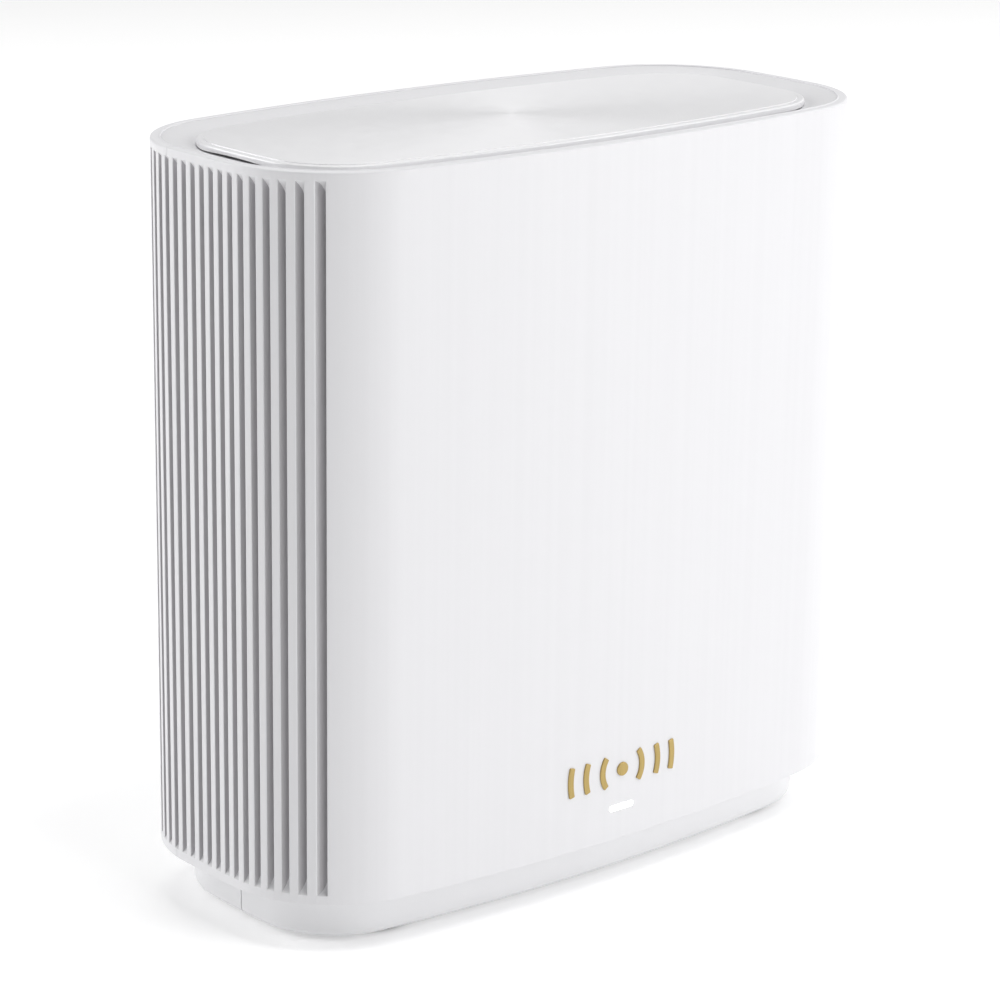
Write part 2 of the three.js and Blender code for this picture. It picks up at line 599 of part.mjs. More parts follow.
function add(name, body, material) {
  const mesh = new THREE.Mesh(geometryOf(body), new THREE.MeshStandardMaterial(material));
  mesh.name = name;
  group.add(mesh);
}

const shell = wholeShell();
add('front_shell', frontShell(shell), WHITE);
add('rear_cover', rearCover(shell), WHITE);
add('top_bezel', topBezel(), WHITE);
add('top_plate', topPlate(), PLATE_WHITE);
add('vent_grille', ventGrille(), GREY);

const base = wholeBase();
add('base_front', base.intersect(frontOf(BASE.splitY - BASE.splitGap / 2)), WHITE);
add('base_rear', base.intersect(behind(BASE.splitY + BASE.splitGap / 2)), WHITE);
add('label_plate', box(-LABEL.halfWidth, LABEL.halfWidth, LABEL.y0, LABEL.y1, LABEL.z0, LABEL.z1), GREY);
footPlaces().forEach(([x, y], i) => add(`foot_${i + 1}`, foot(x, y), RUBBER));
screwPlaces().forEach(([x, y], i) => add(`base_screw_${i + 1}`, baseScrew(x, y), STEEL));

add('emblem', emblem(), GOLD);
add('light_guide', lightGuide(), LIGHT);
add('status_led', box(-STATUS_LED.half, STATUS_LED.half, STATUS_LED.front, BOARD.front - TOUCH,
  LENS.z - STATUS_LED.half, LENS.z + STATUS_LED.half), LIGHT);

add('port_panel', portPanel(), WHITE);
Object.entries(JACKS).forEach(([name, x]) => add(name, jack(x), STEEL));
add('usb_socket', usbSocket(), STEEL);
add('dc_inlet', dcInlet(), BLACK);
Object.entries(BUTTONS).forEach(([name, button]) => {
  add(`${name}_button`, pushButton(button), WHITE);
  add(`${name}_switch`, pushSwitch(button), BLACK);
});

add('main_board', mainBoard(), GREEN);
add('inner_frame', innerFrame(), BLACK);
add('heatsink_front', heatsink(-1), ALUMINIUM);
add('heatsink_rear', heatsink(1), ALUMINIUM);
Object.entries(CANS).forEach(([name, can]) => {
  const top = TOUCH + CAN.height;
  add(name, layer(can, TOUCH, top, 0), STEEL);
  add(name.replace('can', 'pad'), layer(can, top + TOUCH, top + TOUCH + PAD.thickness, PAD.inset), PINK);
});
bothSigns((side) => bothSigns((towards) => {
  const name = `antenna_${side < 0 ? 'left' : 'right'}_${towards < 0 ? 'front' : 'rear'}`;
  add(name, endAntenna(side, towards), GREEN);
}));
bothSigns((side) => add(`antenna_top_${side < 0 ? 'left' : 'right'}`, topAntenna(side), GREEN));
boardScrewPlaces().forEach(([x, z], i) => add(`board_screw_${i + 1}`, boardScrew(x, z), STEEL));

export default group;
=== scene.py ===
"""An upright wireless router in soft studio light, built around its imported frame.

Lengths are millimetres and are scaled to metres where a mesh is made. X is the width, -Y the front, +Z up.
"""

import json
import math

import bmesh
import bpy
from mathutils import Matrix, Vector


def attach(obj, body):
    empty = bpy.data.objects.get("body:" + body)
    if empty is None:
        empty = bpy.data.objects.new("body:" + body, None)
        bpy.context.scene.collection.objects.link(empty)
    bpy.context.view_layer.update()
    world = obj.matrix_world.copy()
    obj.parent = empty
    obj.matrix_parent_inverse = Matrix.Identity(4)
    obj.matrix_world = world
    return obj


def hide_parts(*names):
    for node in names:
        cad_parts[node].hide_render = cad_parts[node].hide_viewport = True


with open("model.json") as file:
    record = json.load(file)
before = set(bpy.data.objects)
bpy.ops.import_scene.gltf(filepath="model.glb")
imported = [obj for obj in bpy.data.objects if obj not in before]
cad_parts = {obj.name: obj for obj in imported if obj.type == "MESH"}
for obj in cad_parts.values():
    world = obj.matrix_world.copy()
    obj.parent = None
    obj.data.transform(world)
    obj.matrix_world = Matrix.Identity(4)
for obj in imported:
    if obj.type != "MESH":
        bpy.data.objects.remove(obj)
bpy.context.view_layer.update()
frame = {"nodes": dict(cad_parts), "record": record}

MM = 0.001
HOUSING = "housing"

# ---- sizes of the enclosure ----
BODY = {"a": 80.0, "b": 38.35, "rc": 26.5, "r1": 461.0, "r2": 345.0}
PLATE_INSET = 9.3
PLATE = {key: size - PLATE_INSET for key, size in BODY.items()}
BODY_BOTTOM = 11.0
PARTING_Y, PARTING_GAP = 11.4, 0.12
BASE_INSET, BASE_SPLIT_Y, BASE_GAP = 7.0, -1.9, 0.3
FOOT_PROUD = 0.8

SLOTS, SLOT_PITCH, SLOT_SHIFT, SLOT_WIDTH, SLOT_DEPTH = 19, 3.0, -0.65, 1.45, 2.8
SLOT_BOTTOM, SLOT_TOP = 12.95, 159.2
RAMP_START, NEXT_RAMP_START, OUTER_RAMP_START = (math.radians(angle) for angle in (45, 35, 13))
RAMP_STEPS = 10
SLOT_EDGE = 0.15

WALL, END_WALL = 2.25, 4.85
LIP_INNER, LIP_FLOOR = 2.25, 158.75
SHELL_FLOOR, SHELL_FLOOR_INSET = 13.0, 16.0
MIDWAY_ROWS = 60.0, 90.0, 120.0
RECESS = {"x": 58.0, "low": 15.0, "high": 37.0}
PORT_Z = 26.0


# ---- meshes ----
def make_mesh(name, points, faces, materials, tags=None, sharp=35, weighted=True):
    """A mesh object from millimetre points; tags gives each face its material's place in the list."""
    bm = bmesh.new()
    verts = [bm.verts.new(Vector(p) * MM) for p in points]
    for i, face in enumerate(faces):
        corners = [verts[k] for k in dict.fromkeys(face)]
        if len(corners) > 2:
            try:
                made = bm.faces.new(corners)
            except ValueError:
                continue
            made.material_index = tags[i] if tags else 0
    bmesh.ops.remove_doubles(bm, verts=bm.verts, dist=1e-3 * MM)
    bmesh.ops.dissolve_degenerate(bm, edges=bm.edges, dist=1e-4 * MM)
    bmesh.ops.recalc_face_normals(bm, faces=bm.faces)
    return finish_bmesh(name, bm, materials, sharp, weighted)


def mark_sharp(bm, degrees):
    """Makes every face smooth and marks the edges that turn further than so many degrees."""
    limit = math.radians(degrees)
    for face in bm.faces:
        face.smooth = True
    for edge in bm.edges:
        edge.smooth = len(edge.link_faces) == 2 and edge.calc_face_angle(math.pi) < limit


def weigh_normals(obj):
    """Keeps flat faces flat beside rounded edges."""
    obj.modifiers.new("weighted", "WEIGHTED_NORMAL").keep_sharp = True


def finish_bmesh(name, bm, materials, sharp=35, weighted=True):
    """The object of a finished bmesh."""
    mark_sharp(bm, sharp)
    mesh = bpy.data.meshes.new(name)
    bm.to_mesh(mesh)
    bm.free()
    obj = bpy.data.objects.new(name, mesh)
    bpy.context.scene.collection.objects.link(obj)
    for material in materials:
        mesh.materials.append(material)
    if weighted:
        weigh_normals(obj)
    return obj


def place(obj, slot, *nodes, body=HOUSING):
    """The piece rides on its body and stands for CAD nodes, which it hides. The slot is not used."""
    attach(obj, body)
    if nodes:
        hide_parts(*nodes)
    return obj


def bevel(obj, width):
    """Rounds the sharp edges, ahead of the weighted normals."""
    modifier = obj.modifiers.new("bevel", "BEVEL")
    modifier.width = width * MM
    modifier.segments = 2
    modifier.limit_method = "ANGLE"
    modifier.angle_limit = math.radians(50)
    modifier.harden_normals = False
    obj.modifiers.move(len(obj.modifiers) - 1, obj.modifiers.find("weighted"))
    return obj


def apply_modifiers(obj):
    """Works the object's modifiers into its mesh."""
    graph = bpy.context.evaluated_depsgraph_get()
    mesh = bpy.data.meshes.new_from_object(obj.evaluated_get(graph))
    old = obj.data
    obj.modifiers.clear()
    obj.data = mesh
    bpy.data.meshes.remove(old)


def cut(obj, *shapes):
    """Takes shapes away from the object, one after another."""
    cutters = [make_mesh("cutter", *shape, [], weighted=False) for shape in shapes]
    for cutter in cutters:
        modifier = obj.modifiers.new("cut", "BOOLEAN")
        modifier.operation = "DIFFERENCE"
        modifier.solver = "EXACT"
        modifier.object = cutter
    bpy.context.view_layer.update()
    apply_modifiers(obj)
    for cutter in cutters:
        bpy.data.objects.remove(cutter, do_unlink=True)
    return obj


def sharpen(obj):
    """Marks the sharp edges again after a cut."""
    bm = bmesh.new()
    bm.from_mesh(obj.data)
    mark_sharp(bm, 35)
    bm.to_mesh(obj.data)
    bm.free()
    weigh_normals(obj)
    return obj


# ---- outlines ----
ARC_STEPS = 8, 16, 18


def arc_centres(shape):
    """Centres, in the quarter x > 0, y > 0, of the long arc, the end arc and the corner arc."""
    front = Vector((0, shape["b"] - shape["r1"]))
    end = Vector((shape["a"] - shape["r2"], 0))
    reach_front, reach_end = shape["r1"] - shape["rc"], shape["r2"] - shape["rc"]
    apart = (end - front).length
    along = (reach_front**2 - reach_end**2 + apart**2) / (2 * apart)
    off = math.sqrt(reach_front**2 - along**2)
    unit = (end - front) / apart
    across = Vector((-unit.y, unit.x)) * off
    return front, end, max(front + unit * along + across, front + unit * along - across, key=lambda c: c.x)


def arc(centre, radius, start, stop, steps):
    """Points with outward normals along an arc, without its last point. Angles run from +Y to +X."""
    for i in range(steps):
        angle = start + (stop - start) * i / steps
        normal = Vector((math.sin(angle), math.cos(angle)))
        yield centre + normal * radius, normal


def quarter(shape):
    """(point, normal) from the end on +X to the middle of the long side on +Y."""
    front, end, corner = arc_centres(shape)
    to_front = math.atan2((corner - front).x, (corner - front).y)
    to_end = math.atan2((corner - end).x, (corner - end).y)
    line = list(arc(end, shape["r2"], math.pi / 2, to_end, ARC_STEPS[0]))
    line += arc(corner, shape["rc"], to_end, to_front, ARC_STEPS[1])
    line += arc(front, shape["r1"], to_front, 0, ARC_STEPS[2])
    line.append((Vector((0, shape["b"])), Vector((0, 1))))
    return line


def mirrored(line, x, y):
    """Points, normals and what follows them mirrored in X, Y or both, still anticlockwise."""
    copy = [(Vector((p.x * x, p.y * y)), Vector((n.x * x, n.y * y)), *rest) for p, n, *rest in line]
    return copy if x * y > 0 else copy[::-1]


def outline(shape):
    """The whole outline, anticlockwise from above, as (point, outward normal)."""
    first = quarter(shape)
    whole = []
    for x, y in ((1, 1), (-1, 1), (-1, -1), (1, -1)):
        whole += mirrored(first, x, y)[:-1]
    return whole


def bands(rows, count, closed=False):
    """Faces between rows of points, and, if closed, from the last row back to the first."""
    faces = []
    for k in range(rows if closed else rows - 1):
        near, far = k * count, (k + 1) % rows * count
        for i in range(count):
            j = (i + 1) % count
            faces.append((near + i, near + j, far + j, far + i))
    return faces


def loft(shape, profile, closed=False):
    """Points and faces of outlines stacked along [inset, z, scale]; capped, or closed on itself."""
    line = outline(shape)
    count = len(line)
    points, faces = [], bands(len(profile), count, closed)
    for inset, z, *scale in profile:
        size = scale[0] if scale else 1
        points += [(*((p - n * inset) * size), z) for p, n in line]
    if not closed:
        top = (len(profile) - 1) * count
        points += [(0, 0, profile[0][1]), (0, 0, profile[-1][1])]
        for i in range(count):
            j = (i + 1) % count
            faces.append((len(points) - 2, j, i))
            faces.append((len(points) - 1, top + i, top + j))
    return points, faces


def circle(radius, sides=48):
    angles = [2 * math.pi * i / sides for i in range(sides)]
    return [(radius * math.cos(a), radius * math.sin(a)) for a in angles]


def rounded(half_u, half_v, radius, steps=6):
    """A rectangle with round corners, anticlockwise."""
    line = []
    for k, (i, j) in enumerate(((1, 1), (-1, 1), (-1, -1), (1, -1))):
        for s in range(steps + 1):
            angle = math.pi / 2 * (k + s / steps)
            line.append((
                i * (half_u - radius) + radius * math.cos(angle),
                j * (half_v - radius) + radius * math.sin(angle),
            ))
    return line


def upright(x, y):
    """Puts a contour flat at a height above the floor."""
    return lambda u, v, h: (x + u, y + v, h)


def facing(x, z):
    """Puts a contour upright, facing along Y."""
    return lambda u, v, h: (x + u, h, z + v)


def stack(contours, put):
    """Contours with equal counts, each with its height, joined in order and closed at both ends."""
    points = [put(u, v, h) for line, h in contours for u, v in line]
    count, rows = len(contours[0][0]), len(contours)
    faces = bands(rows, count)
    faces.append(tuple(range(count)))
    faces.append(tuple(range((rows - 1) * count, rows * count)))
    return points, faces


def turned(profile, put, sides=48):
    """A line of (radius, height) turned round."""
    return stack([(circle(radius, sides), height) for radius, height in profile], put)


def block(x0, x1, y0, y1, z0, z1):
    points = [(x, y, z) for x in (x0, x1) for y in (y0, y1) for z in (z0, z1)]
    return points, [(0, 1, 3, 2), (4, 6, 7, 5), (0, 4, 5, 1), (2, 3, 7, 6), (0, 2, 6, 4), (1, 5, 7, 3)]


def merged(*shapes):
    """Several shapes as one set of points and faces."""
    points, faces = [], []
    for more, sides in shapes:
        start = len(points)
        points += more
        faces += [tuple(start + k for k in face) for face in sides]
    return points, faces


def quarter_round(steps):
    """A quarter round as (how far in, how far up), leaving upright and arriving flat."""
    for i in range(steps + 1):
        angle = math.pi / 2 * i / steps
        yield 1 - math.cos(angle), math.sin(angle)


def four(x, y):
    """Four places, one in each quarter."""
    return [(i * x, j * y) for i in (-1, 1) for j in (-1, 1)]


# ---- materials ----
class Shader:
    """A node material around one Principled shader."""

    def __init__(self, name, color, roughness, **values):
        self.material = bpy.data.materials.new(name)
        self.material.use_nodes = True
        self.nodes = self.material.node_tree.nodes
        self.links = self.material.node_tree.links
        self.shader = self.nodes["Principled BSDF"]
        self.color = color
        self.fill(self.shader, Base_Color=(*color, 1), Roughness=roughness, **values)
        self.coords = self.add("TexCoord").outputs["Object"]
        self.normal = None

    def fill(self, node, **values):
        """Sets a node's sockets to values, or links them to other nodes' outputs."""
        for key, value in values.items():
            socket = node.inputs[key.replace("_", " ")]
            if isinstance(value, bpy.types.NodeSocket):
                self.links.new(value, socket)
            else:
                socket.default_value = value
        return node

    def add(self, kind, **values):
        """A new node with its sockets filled."""
        return self.fill(self.nodes.new("ShaderNode" + kind), **values)

    def noise(self, scale, stretch=(1, 1, 1), detail=3.0, roughness=0.5):
        """Noise whose grain is 1 / scale metres, drawn out along the axes by stretch."""
        mapping = self.add("Mapping", Vector=self.coords, Scale=[scale / s for s in stretch])
        texture = self.add("TexNoise", Vector=mapping.outputs["Vector"], Scale=1.0)
        return self.fill(texture, Detail=detail, Roughness=roughness).outputs["Fac"]

    def ramp(self, value, low, high, start=0.3, stop=0.7):
        """value mapped from start..stop to low..high."""
        limits = {"From_Min": start, "From_Max": stop, "To_Min": low, "To_Max": high}
        return self.add("MapRange", Value=value, **limits).outputs["Result"]

    def math(self, operation, *values):
        node = self.add("Math")
        node.operation = operation
        for socket, value in zip(node.inputs, values):
            self.links.new(value, socket)
        return node.outputs[0]

    def tint(self, value, darker, start=0.3, stop=0.7):
        """The base colour runs between a darker shade and itself."""
        mix = self.add("Mix")
        mix.data_type = "RGBA"
        shade = (*[c * darker for c in self.color], 1)
        self.fill(mix, A=shade, B=(*self.color, 1), Factor=self.ramp(value, 0, 1, start, stop))
        self.fill(self.shader, Base_Color=mix.outputs["Result"])

    def rough(self, value, low, high):
        self.fill(self.shader, Roughness=self.ramp(value, low, high))

    def bump(self, value, depth):
        """A bump whose full height is depth millimetres; bumps add up."""
        node = self.add("Bump", Strength=1.0, Distance=depth * MM, Height=value)
        if self.normal:
            self.fill(node, Normal=self.normal)
        self.normal = node.outputs["Normal"]
        self.fill(self.shader, Normal=self.normal)


def moulded_plastic(name, color, roughness, grain=3500, depth=0.004):
    """Plastic with a fine spark-eroded grain, faint cloudiness and slightly uneven sheen."""
    made = Shader(name, color, roughness)
    made.tint(made.noise(60, detail=2), 0.985)
    made.rough(made.noise(400), roughness - 0.04, roughness + 0.05)
    made.bump(made.noise(grain, detail=2), depth)
    return made.material


def hairline_plastic(name, color, roughness):
    """White plastic with fine upright hairlines over a soft moulded grain."""
    made = Shader(name, color, roughness, Specular_IOR_Level=0.5)
    lines = made.noise(3200, stretch=(1, 1, 160), detail=2, roughness=0.6)
    broad = made.noise(700, stretch=(1, 1, 220), detail=3)
    made.tint(broad, 0.982)
    made.rough(lines, roughness - 0.05, roughness + 0.07)
    made.bump(lines, 0.006)
    made.bump(made.noise(4000, detail=1), 0.002)
    return made.material


def spun_plastic(name, color, roughness):
    """Pearly white plastic turned in fine rings, which open a highlight into a cone from the middle."""
    made = Shader(name, color, roughness, Metallic=0.3, Anisotropic=0.6)
    split = made.add("SeparateXYZ", Vector=made.coords)
    x, y = split.outputs["X"], split.outputs["Y"]
    radius = made.math("SQRT", made.math("ADD", made.math("MULTIPLY", x, x), made.math("MULTIPLY", y, y)))
    rings = made.add("TexNoise")
    rings.noise_dimensions = "1D"
    made.fill(rings, Scale=2600, Detail=2, W=radius)
    made.fill(made.shader, Tangent=made.add("CombineXYZ", X=x, Y=y).outputs[0])
    made.tint(rings.outputs["Fac"], 0.985)
    made.rough(made.noise(300), roughness - 0.03, roughness + 0.03)
    made.bump(rings.outputs["Fac"], 0.001)
    return made.material


def brushed_metal(name, color, roughness, stretch=(60, 1, 1)):
    """Metal with fine lines drawn out along stretch."""
    made = Shader(name, color, roughness, Metallic=1.0)
    lines = made.noise(2500, stretch=stretch, detail=3)
    made.tint(lines, 0.88)
    made.rough(lines, roughness - 0.06, roughness + 0.1)
    made.bump(lines, 0.003)
    return made.material


def rubber(name, color):
    """Matt rubber with a coarse skin."""
    made = Shader(name, color, 0.8)
    made.tint(made.noise(900), 0.85)
    made.bump(made.noise(2500, detail=4), 0.02)
    return made.material


def circuit_board(name, color):
    """Lacquered board with darker tracks."""
    made = Shader(name, color, 0.35, Coat_Weight=0.3)
    made.tint(made.noise(500, stretch=(8, 1, 1)), 0.6, 0.45, 0.55)
    made.bump(made.noise(800, stretch=(8, 1, 1)), 0.02)
    return made.material


def lit_plastic(name, color, strength):
    """A lens lit from behind, a little unevenly."""
    made = Shader(name, color, 0.25, Emission_Color=(1, 1, 1, 1))
    across = made.noise(250, detail=1)
    made.fill(made.shader, Emission_Strength=made.ramp(across, strength * 0.92, strength * 1.08))
    made.tint(across, 0.97)
    made.bump(made.noise(2000), 0.002)
    return made.material


WHITE = hairline_plastic("shell_white", (0.789, 0.786, 0.804), 0.42)
# Painted shade: a darker colour for the slots' side walls and deep floors, standing in for the shade inside
# the narrow slots.
SLOT_PAINTED_SHADE = moulded_plastic("slot_painted_shade", (0.57, 0.561, 0.578), 0.75)
# Painted shade: the bezel's white is set darker than the shell's to stand in for the shade in the dish.
BEZEL_WHITE_PAINTED_SHADE = moulded_plastic("bezel_white", (0.74, 0.737, 0.752), 0.4)
PLATE_WHITE = spun_plastic("plate_white", (0.85, 0.848, 0.86), 0.5)
BASE_WHITE = moulded_plastic("base_white", (0.81, 0.81, 0.823), 0.45)
PANEL_WHITE = moulded_plastic("panel_white", (0.8, 0.8, 0.805), 0.5, depth=0.01)
BUTTON_WHITE = moulded_plastic("button_white", (0.78, 0.78, 0.785), 0.35)
BLACK = moulded_plastic("plastic_black", (0.02, 0.02, 0.021), 0.5)
GREY = moulded_plastic("grille_grey", (0.2, 0.2, 0.205), 0.6)
LABEL_GREY = moulded_plastic("label_grey", (0.62, 0.62, 0.63), 0.55, grain=1500)
USB_BLUE = moulded_plastic("usb_blue", (0.02, 0.14, 0.42), 0.4)
PRINT = moulded_plastic("print_grey", (0.3, 0.3, 0.31), 0.6)
GOLD = brushed_metal("emblem_gold", (0.5, 0.37, 0.145), 0.32, stretch=(1, 1, 40))
CONTACT = brushed_metal("contact_gold", (0.8, 0.56, 0.2), 0.25)
STEEL = brushed_metal("screw_steel", (0.5, 0.5, 0.51), 0.32)
SOCKET = brushed_metal("socket_metal", (0.62, 0.62, 0.63), 0.3)
ALUMINIUM = brushed_metal("sink_aluminium", (0.7, 0.71, 0.72), 0.4, stretch=(1, 1, 80))
RUBBER = rubber("foot_rubber", (0.11, 0.11, 0.115))
BOARD = circuit_board("board_green", (0.02, 0.12, 0.05))
PAD = rubber("pad_pink", (0.5, 0.27, 0.31))
LIGHT = lit_plastic("light_white", (1.0, 1.0, 1.0), 2.2)

SLOT_MATERIALS = {
    "shell_white": WHITE, "bezel_white": BEZEL_WHITE_PAINTED_SHADE, "plate_white": PLATE_WHITE, "base_white": BASE_WHITE,
    "grille_grey": GREY, "label_grey": LABEL_GREY, "foot_rubber": RUBBER, "screw_steel": STEEL,
    "emblem_gold": GOLD, "light_white": LIGHT, "panel_grey": PANEL_WHITE, "button_white": BUTTON_WHITE,
    "socket_metal": SOCKET, "plastic_black": BLACK, "board_green": BOARD, "sink_aluminium": ALUMINIUM,
    "pad_pink": PAD,
}


# ---- shell ----
def end_point(y):
    """Point and outward normal of the +X end of the body at y."""
    _, end, corner = arc_centres(BODY)
    side = abs(y)
    if side < BODY["r2"] * corner.y / (BODY["r2"] - BODY["rc"]):
        centre, radius = end, BODY["r2"]
    else:
        centre, radius = corner, BODY["rc"]
    x = centre.x + math.sqrt(radius**2 - (side - centre.y) ** 2)
    normal = (Vector((x, side)) - centre) / radius
    return Vector((x, y)), Vector((normal.x, normal.y if y >= 0 else -normal.y))


def end_columns():
    """Columns up the +X end, from front to rear, as (point, normal, how deep a slot lets it sink)."""
    whole = SLOT_DEPTH
    half, lean = SLOT_WIDTH / 2, SLOT_EDGE * (1 - math.cos(math.radians(45)))
    columns = []
    for k in range(SLOTS):
        middle = SLOT_SHIFT + (k - (SLOTS - 1) / 2) * SLOT_PITCH
        side = [
            (half + SLOT_EDGE, 0.0),
            (half + lean, lean),
            (half, SLOT_EDGE),
            (half, whole - SLOT_EDGE),
            (half - SLOT_EDGE, whole),
        ]
        for off, sink in side:
            columns.append((*end_point(middle - off), sink))
        for off, sink in side[::-1]:
            columns.append((*end_point(middle + off), sink))
    return columns


def side_columns(reach):
    """Columns from the outermost slot, reach from the middle, round the corner to the side's middle."""
    front, _, corner = arc_centres(BODY)
    last = end_point(reach)[0]
    start = math.atan2(last.x - corner.x, last.y - corner.y)
    stop = math.atan2(corner.x - front.x, corner.y - front.y)
    side = [(p, n, 0.0) for p, n in list(arc(corner, BODY["rc"], start, stop, 26))[1:]]
    recess = math.asin((RECESS["x"] - corner.x) / BODY["rc"])
    nearest = min(range(len(side)), key=lambda i: abs(side[i][0].x - RECESS["x"]))
    edge = Vector((math.sin(recess), math.cos(recess)))
    side[nearest] = (corner + edge * BODY["rc"], edge, 0.0)
    side += [(p, n, 0.0) for p, n in arc(front, BODY["r1"], stop, 0, 24)]
    side.append((Vector((0, BODY["b"])), Vector((0, 1)), 0.0))
    return side


def shell_columns():
    """All columns of the shell, anticlockwise from above."""
    ends = end_columns()
    rear, front = side_columns(ends[-1][0].y), side_columns(-ends[0][0].y)
    return (
        ends + rear[:-1] + mirrored(rear, -1, 1) + mirrored(ends, -1, 1)
        + mirrored(front, -1, -1)[:-1] + mirrored(front, 1, -1)
    )


def ramp_radius(start):
    """A ramp's radius, when it leaves the skin at start from straight in and ends level at full depth."""
    return SLOT_DEPTH / (1 - math.sin(start))


def slot_depth(z, y=0.0):
    """How deep the slot near y is at a height; the outer slots dive faster at their ends."""
    rise = min(z - SLOT_BOTTOM, SLOT_TOP - z)
    if rise <= 0:
        return 0.0
    inward = (SLOTS - 1) // 2 - round(abs(y - SLOT_SHIFT) / SLOT_PITCH)
    start = {0: OUTER_RAMP_START, 1: NEXT_RAMP_START}.get(inward, RAMP_START)
    level = math.cos(start) - rise / ramp_radius(start)
    if level <= 0:
        return SLOT_DEPTH
    return ramp_radius(start) * (math.sqrt(1 - level**2) - math.sin(start))


def ramp_rises():
    """Heights of the rows over a ramp, closer together at its start."""
    yield from (0.0, 0.1, 0.28)
    for i in range(1, RAMP_STEPS + 1):
        angle = RAMP_START + (math.pi / 2 - RAMP_START) * i / RAMP_STEPS
        yield ramp_radius(RAMP_START) * (math.cos(RAMP_START) - math.cos(angle))


def shell_rows():
    """(inset from outside, z, is it on the outside wall) once round the wall's section."""
    rises = list(ramp_rises())
    low = [SLOT_BOTTOM + r for r in rises]
    high = [SLOT_TOP - r for r in rises[::-1]]
    walls = sorted({*low, *high, RECESS["low"], RECESS["high"], *MIDWAY_ROWS})
    outside = [(0.25, BODY_BOTTOM), (0.07, BODY_BOTTOM + 0.07), (0.0, BODY_BOTTOM + 0.25)]
    outside += [(0.0, z) for z in walls]
    crown = [
        (0.0, 160.4), (0.02, 160.54), (0.08, 160.67), (0.18, 160.77), (0.31, 160.83), (0.46, 160.845),
        (1.77, 160.84), (1.83, 160.86), (1.9, 160.95), (1.97, 160.99), (2.05, 161.0), (2.12, 160.98),
        (2.19, 160.92), (2.24, 160.82), (LIP_INNER, 160.7),
    ]
    inside = [
        (LIP_INNER, LIP_FLOOR), (WALL, LIP_FLOOR), (WALL, RECESS["high"]), (WALL, RECESS["low"]),
        (WALL, SHELL_FLOOR), (SHELL_FLOOR_INSET, SHELL_FLOOR), (SHELL_FLOOR_INSET, BODY_BOTTOM),
    ]
    return (
        [(i, z, "outer") for i, z in outside] + [(i, z, "lip") for i, z in crown]
        + [(i, z, "lip" if i == LIP_INNER and z > LIP_FLOOR else "inner") for i, z in inside]
    )


def wall_at(normal):
    """The wall is thicker behind the slots, and blends round the corners."""
    t = min(max((abs(normal.x) - 0.15) / 0.4, 0.0), 1.0)
    return WALL + (END_WALL - WALL) * t * t * (3 - 2 * t)


def shell_point(column, row):
    point, normal, sink = column
    inset, z, kind = row
    if kind == "inner" and inset == WALL:
        inset = wall_at(normal)
    at = point - normal * inset
    if kind == "outer":
        at.x -= math.copysign(min(sink, slot_depth(z, point.y)), at.x)
    return (at.x, at.y, z)


def shell_grid():
    """The whole shell as one closed band: outside, lip, inside and floor, with the port recess open."""
    columns, rows = shell_columns(), shell_rows()
    count, tall = len(columns), len(rows)
    points = [shell_point(c, r) for c in columns for r in rows]
    low = [k for k, r in enumerate(rows) if r[1] == RECESS["low"]]
    high = [k for k, r in enumerate(rows) if r[1] == RECESS["high"]]

    def in_recess(j):
        ends = (columns[j][0], columns[(j + 1) % count][0])
        return all(p.y > 0 and abs(p.x) <= RECESS["x"] + 1e-6 for p in ends)

    faces, tags = [], []

    def add(face, tag=0):
        faces.append(face)
        tags.append(tag)

    for j in range(count):
        following = (j + 1) % count
        a, b = j * tall, following * tall
        sinks = sorted((columns[j][2], columns[following][2]))
        wall, deep = sinks == [SLOT_EDGE, SLOT_DEPTH - SLOT_EDGE], sinks[0] >= SLOT_DEPTH - SLOT_EDGE
        opened = in_recess(j)
        for k in range(tall):
            top = (k + 1) % tall
            if opened and (low[0] <= k < high[0] or high[1] <= k < low[1]):
                continue
            on_slot = rows[k][2] == "outer" and rows[top][2] == "outer"
            straight = slot_depth((rows[k][1] + rows[top][1]) / 2) >= SLOT_DEPTH
            # Painted shade: the slots' side walls and deep straight floors take the second, darker
            # material.
            in_painted_shade = on_slot and (wall or (deep and straight))
            add((a + k, b + k, b + top, a + top), 1 if in_painted_shade else 0)
        if opened:
            add((a + low[0], b + low[0], b + low[1], a + low[1]))
            add((a + high[0], b + high[0], b + high[1], a + high[1]))
        if opened != in_recess(j - 1):
            rim = list(range(low[0], high[0] + 1)) + list(range(high[1], low[1] + 1))
            add([a + k for k in rim])
    return points, faces, tags


def half_of(name, shape, materials, y, side, **finish):
    """What of a closed shape lies in front of y (side -1) or behind it (side 1), with the cut closed."""
    points, faces, *tags = shape
    whole = make_mesh(name, points, faces, materials, *tags)
    bm = bmesh.new()
    bm.from_mesh(whole.data)
    bpy.data.objects.remove(whole, do_unlink=True)
    bmesh.ops.bisect_plane(
        bm, geom=bm.verts[:] + bm.edges[:] + bm.faces[:], dist=1e-7,
        plane_co=(0, y * MM, 0), plane_no=(0, side, 0), clear_inner=True,
    )
    rim = [e for e in bm.edges if len(e.link_faces) == 1]
    bmesh.ops.holes_fill(bm, edges=rim, sides=0)
    bmesh.ops.recalc_face_normals(bm, faces=bm.faces)
    return finish_bmesh(name, bm, materials, **finish)


def half_shell(name, side):
    """The front (side -1) or rear (side 1) of the shell."""
    y = PARTING_Y + side * PARTING_GAP / 2
    return half_of(name, shell_grid(), [WHITE, SLOT_PAINTED_SHADE], y, side, sharp=38)


# ---- stage ----
YAW, PITCH, ROLL = math.radians(40.78), math.radians(16.01), math.radians(0.73)
AIM = Vector((0, 0, 0.0808))
DISTANCE = 0.7389
LENS_MM, SHIFT = 123.74, (-0.00715, -0.01774)
LAMP_AIM, LAMP_DISTANCE = Vector((0, 0, 0.08)), 1.7
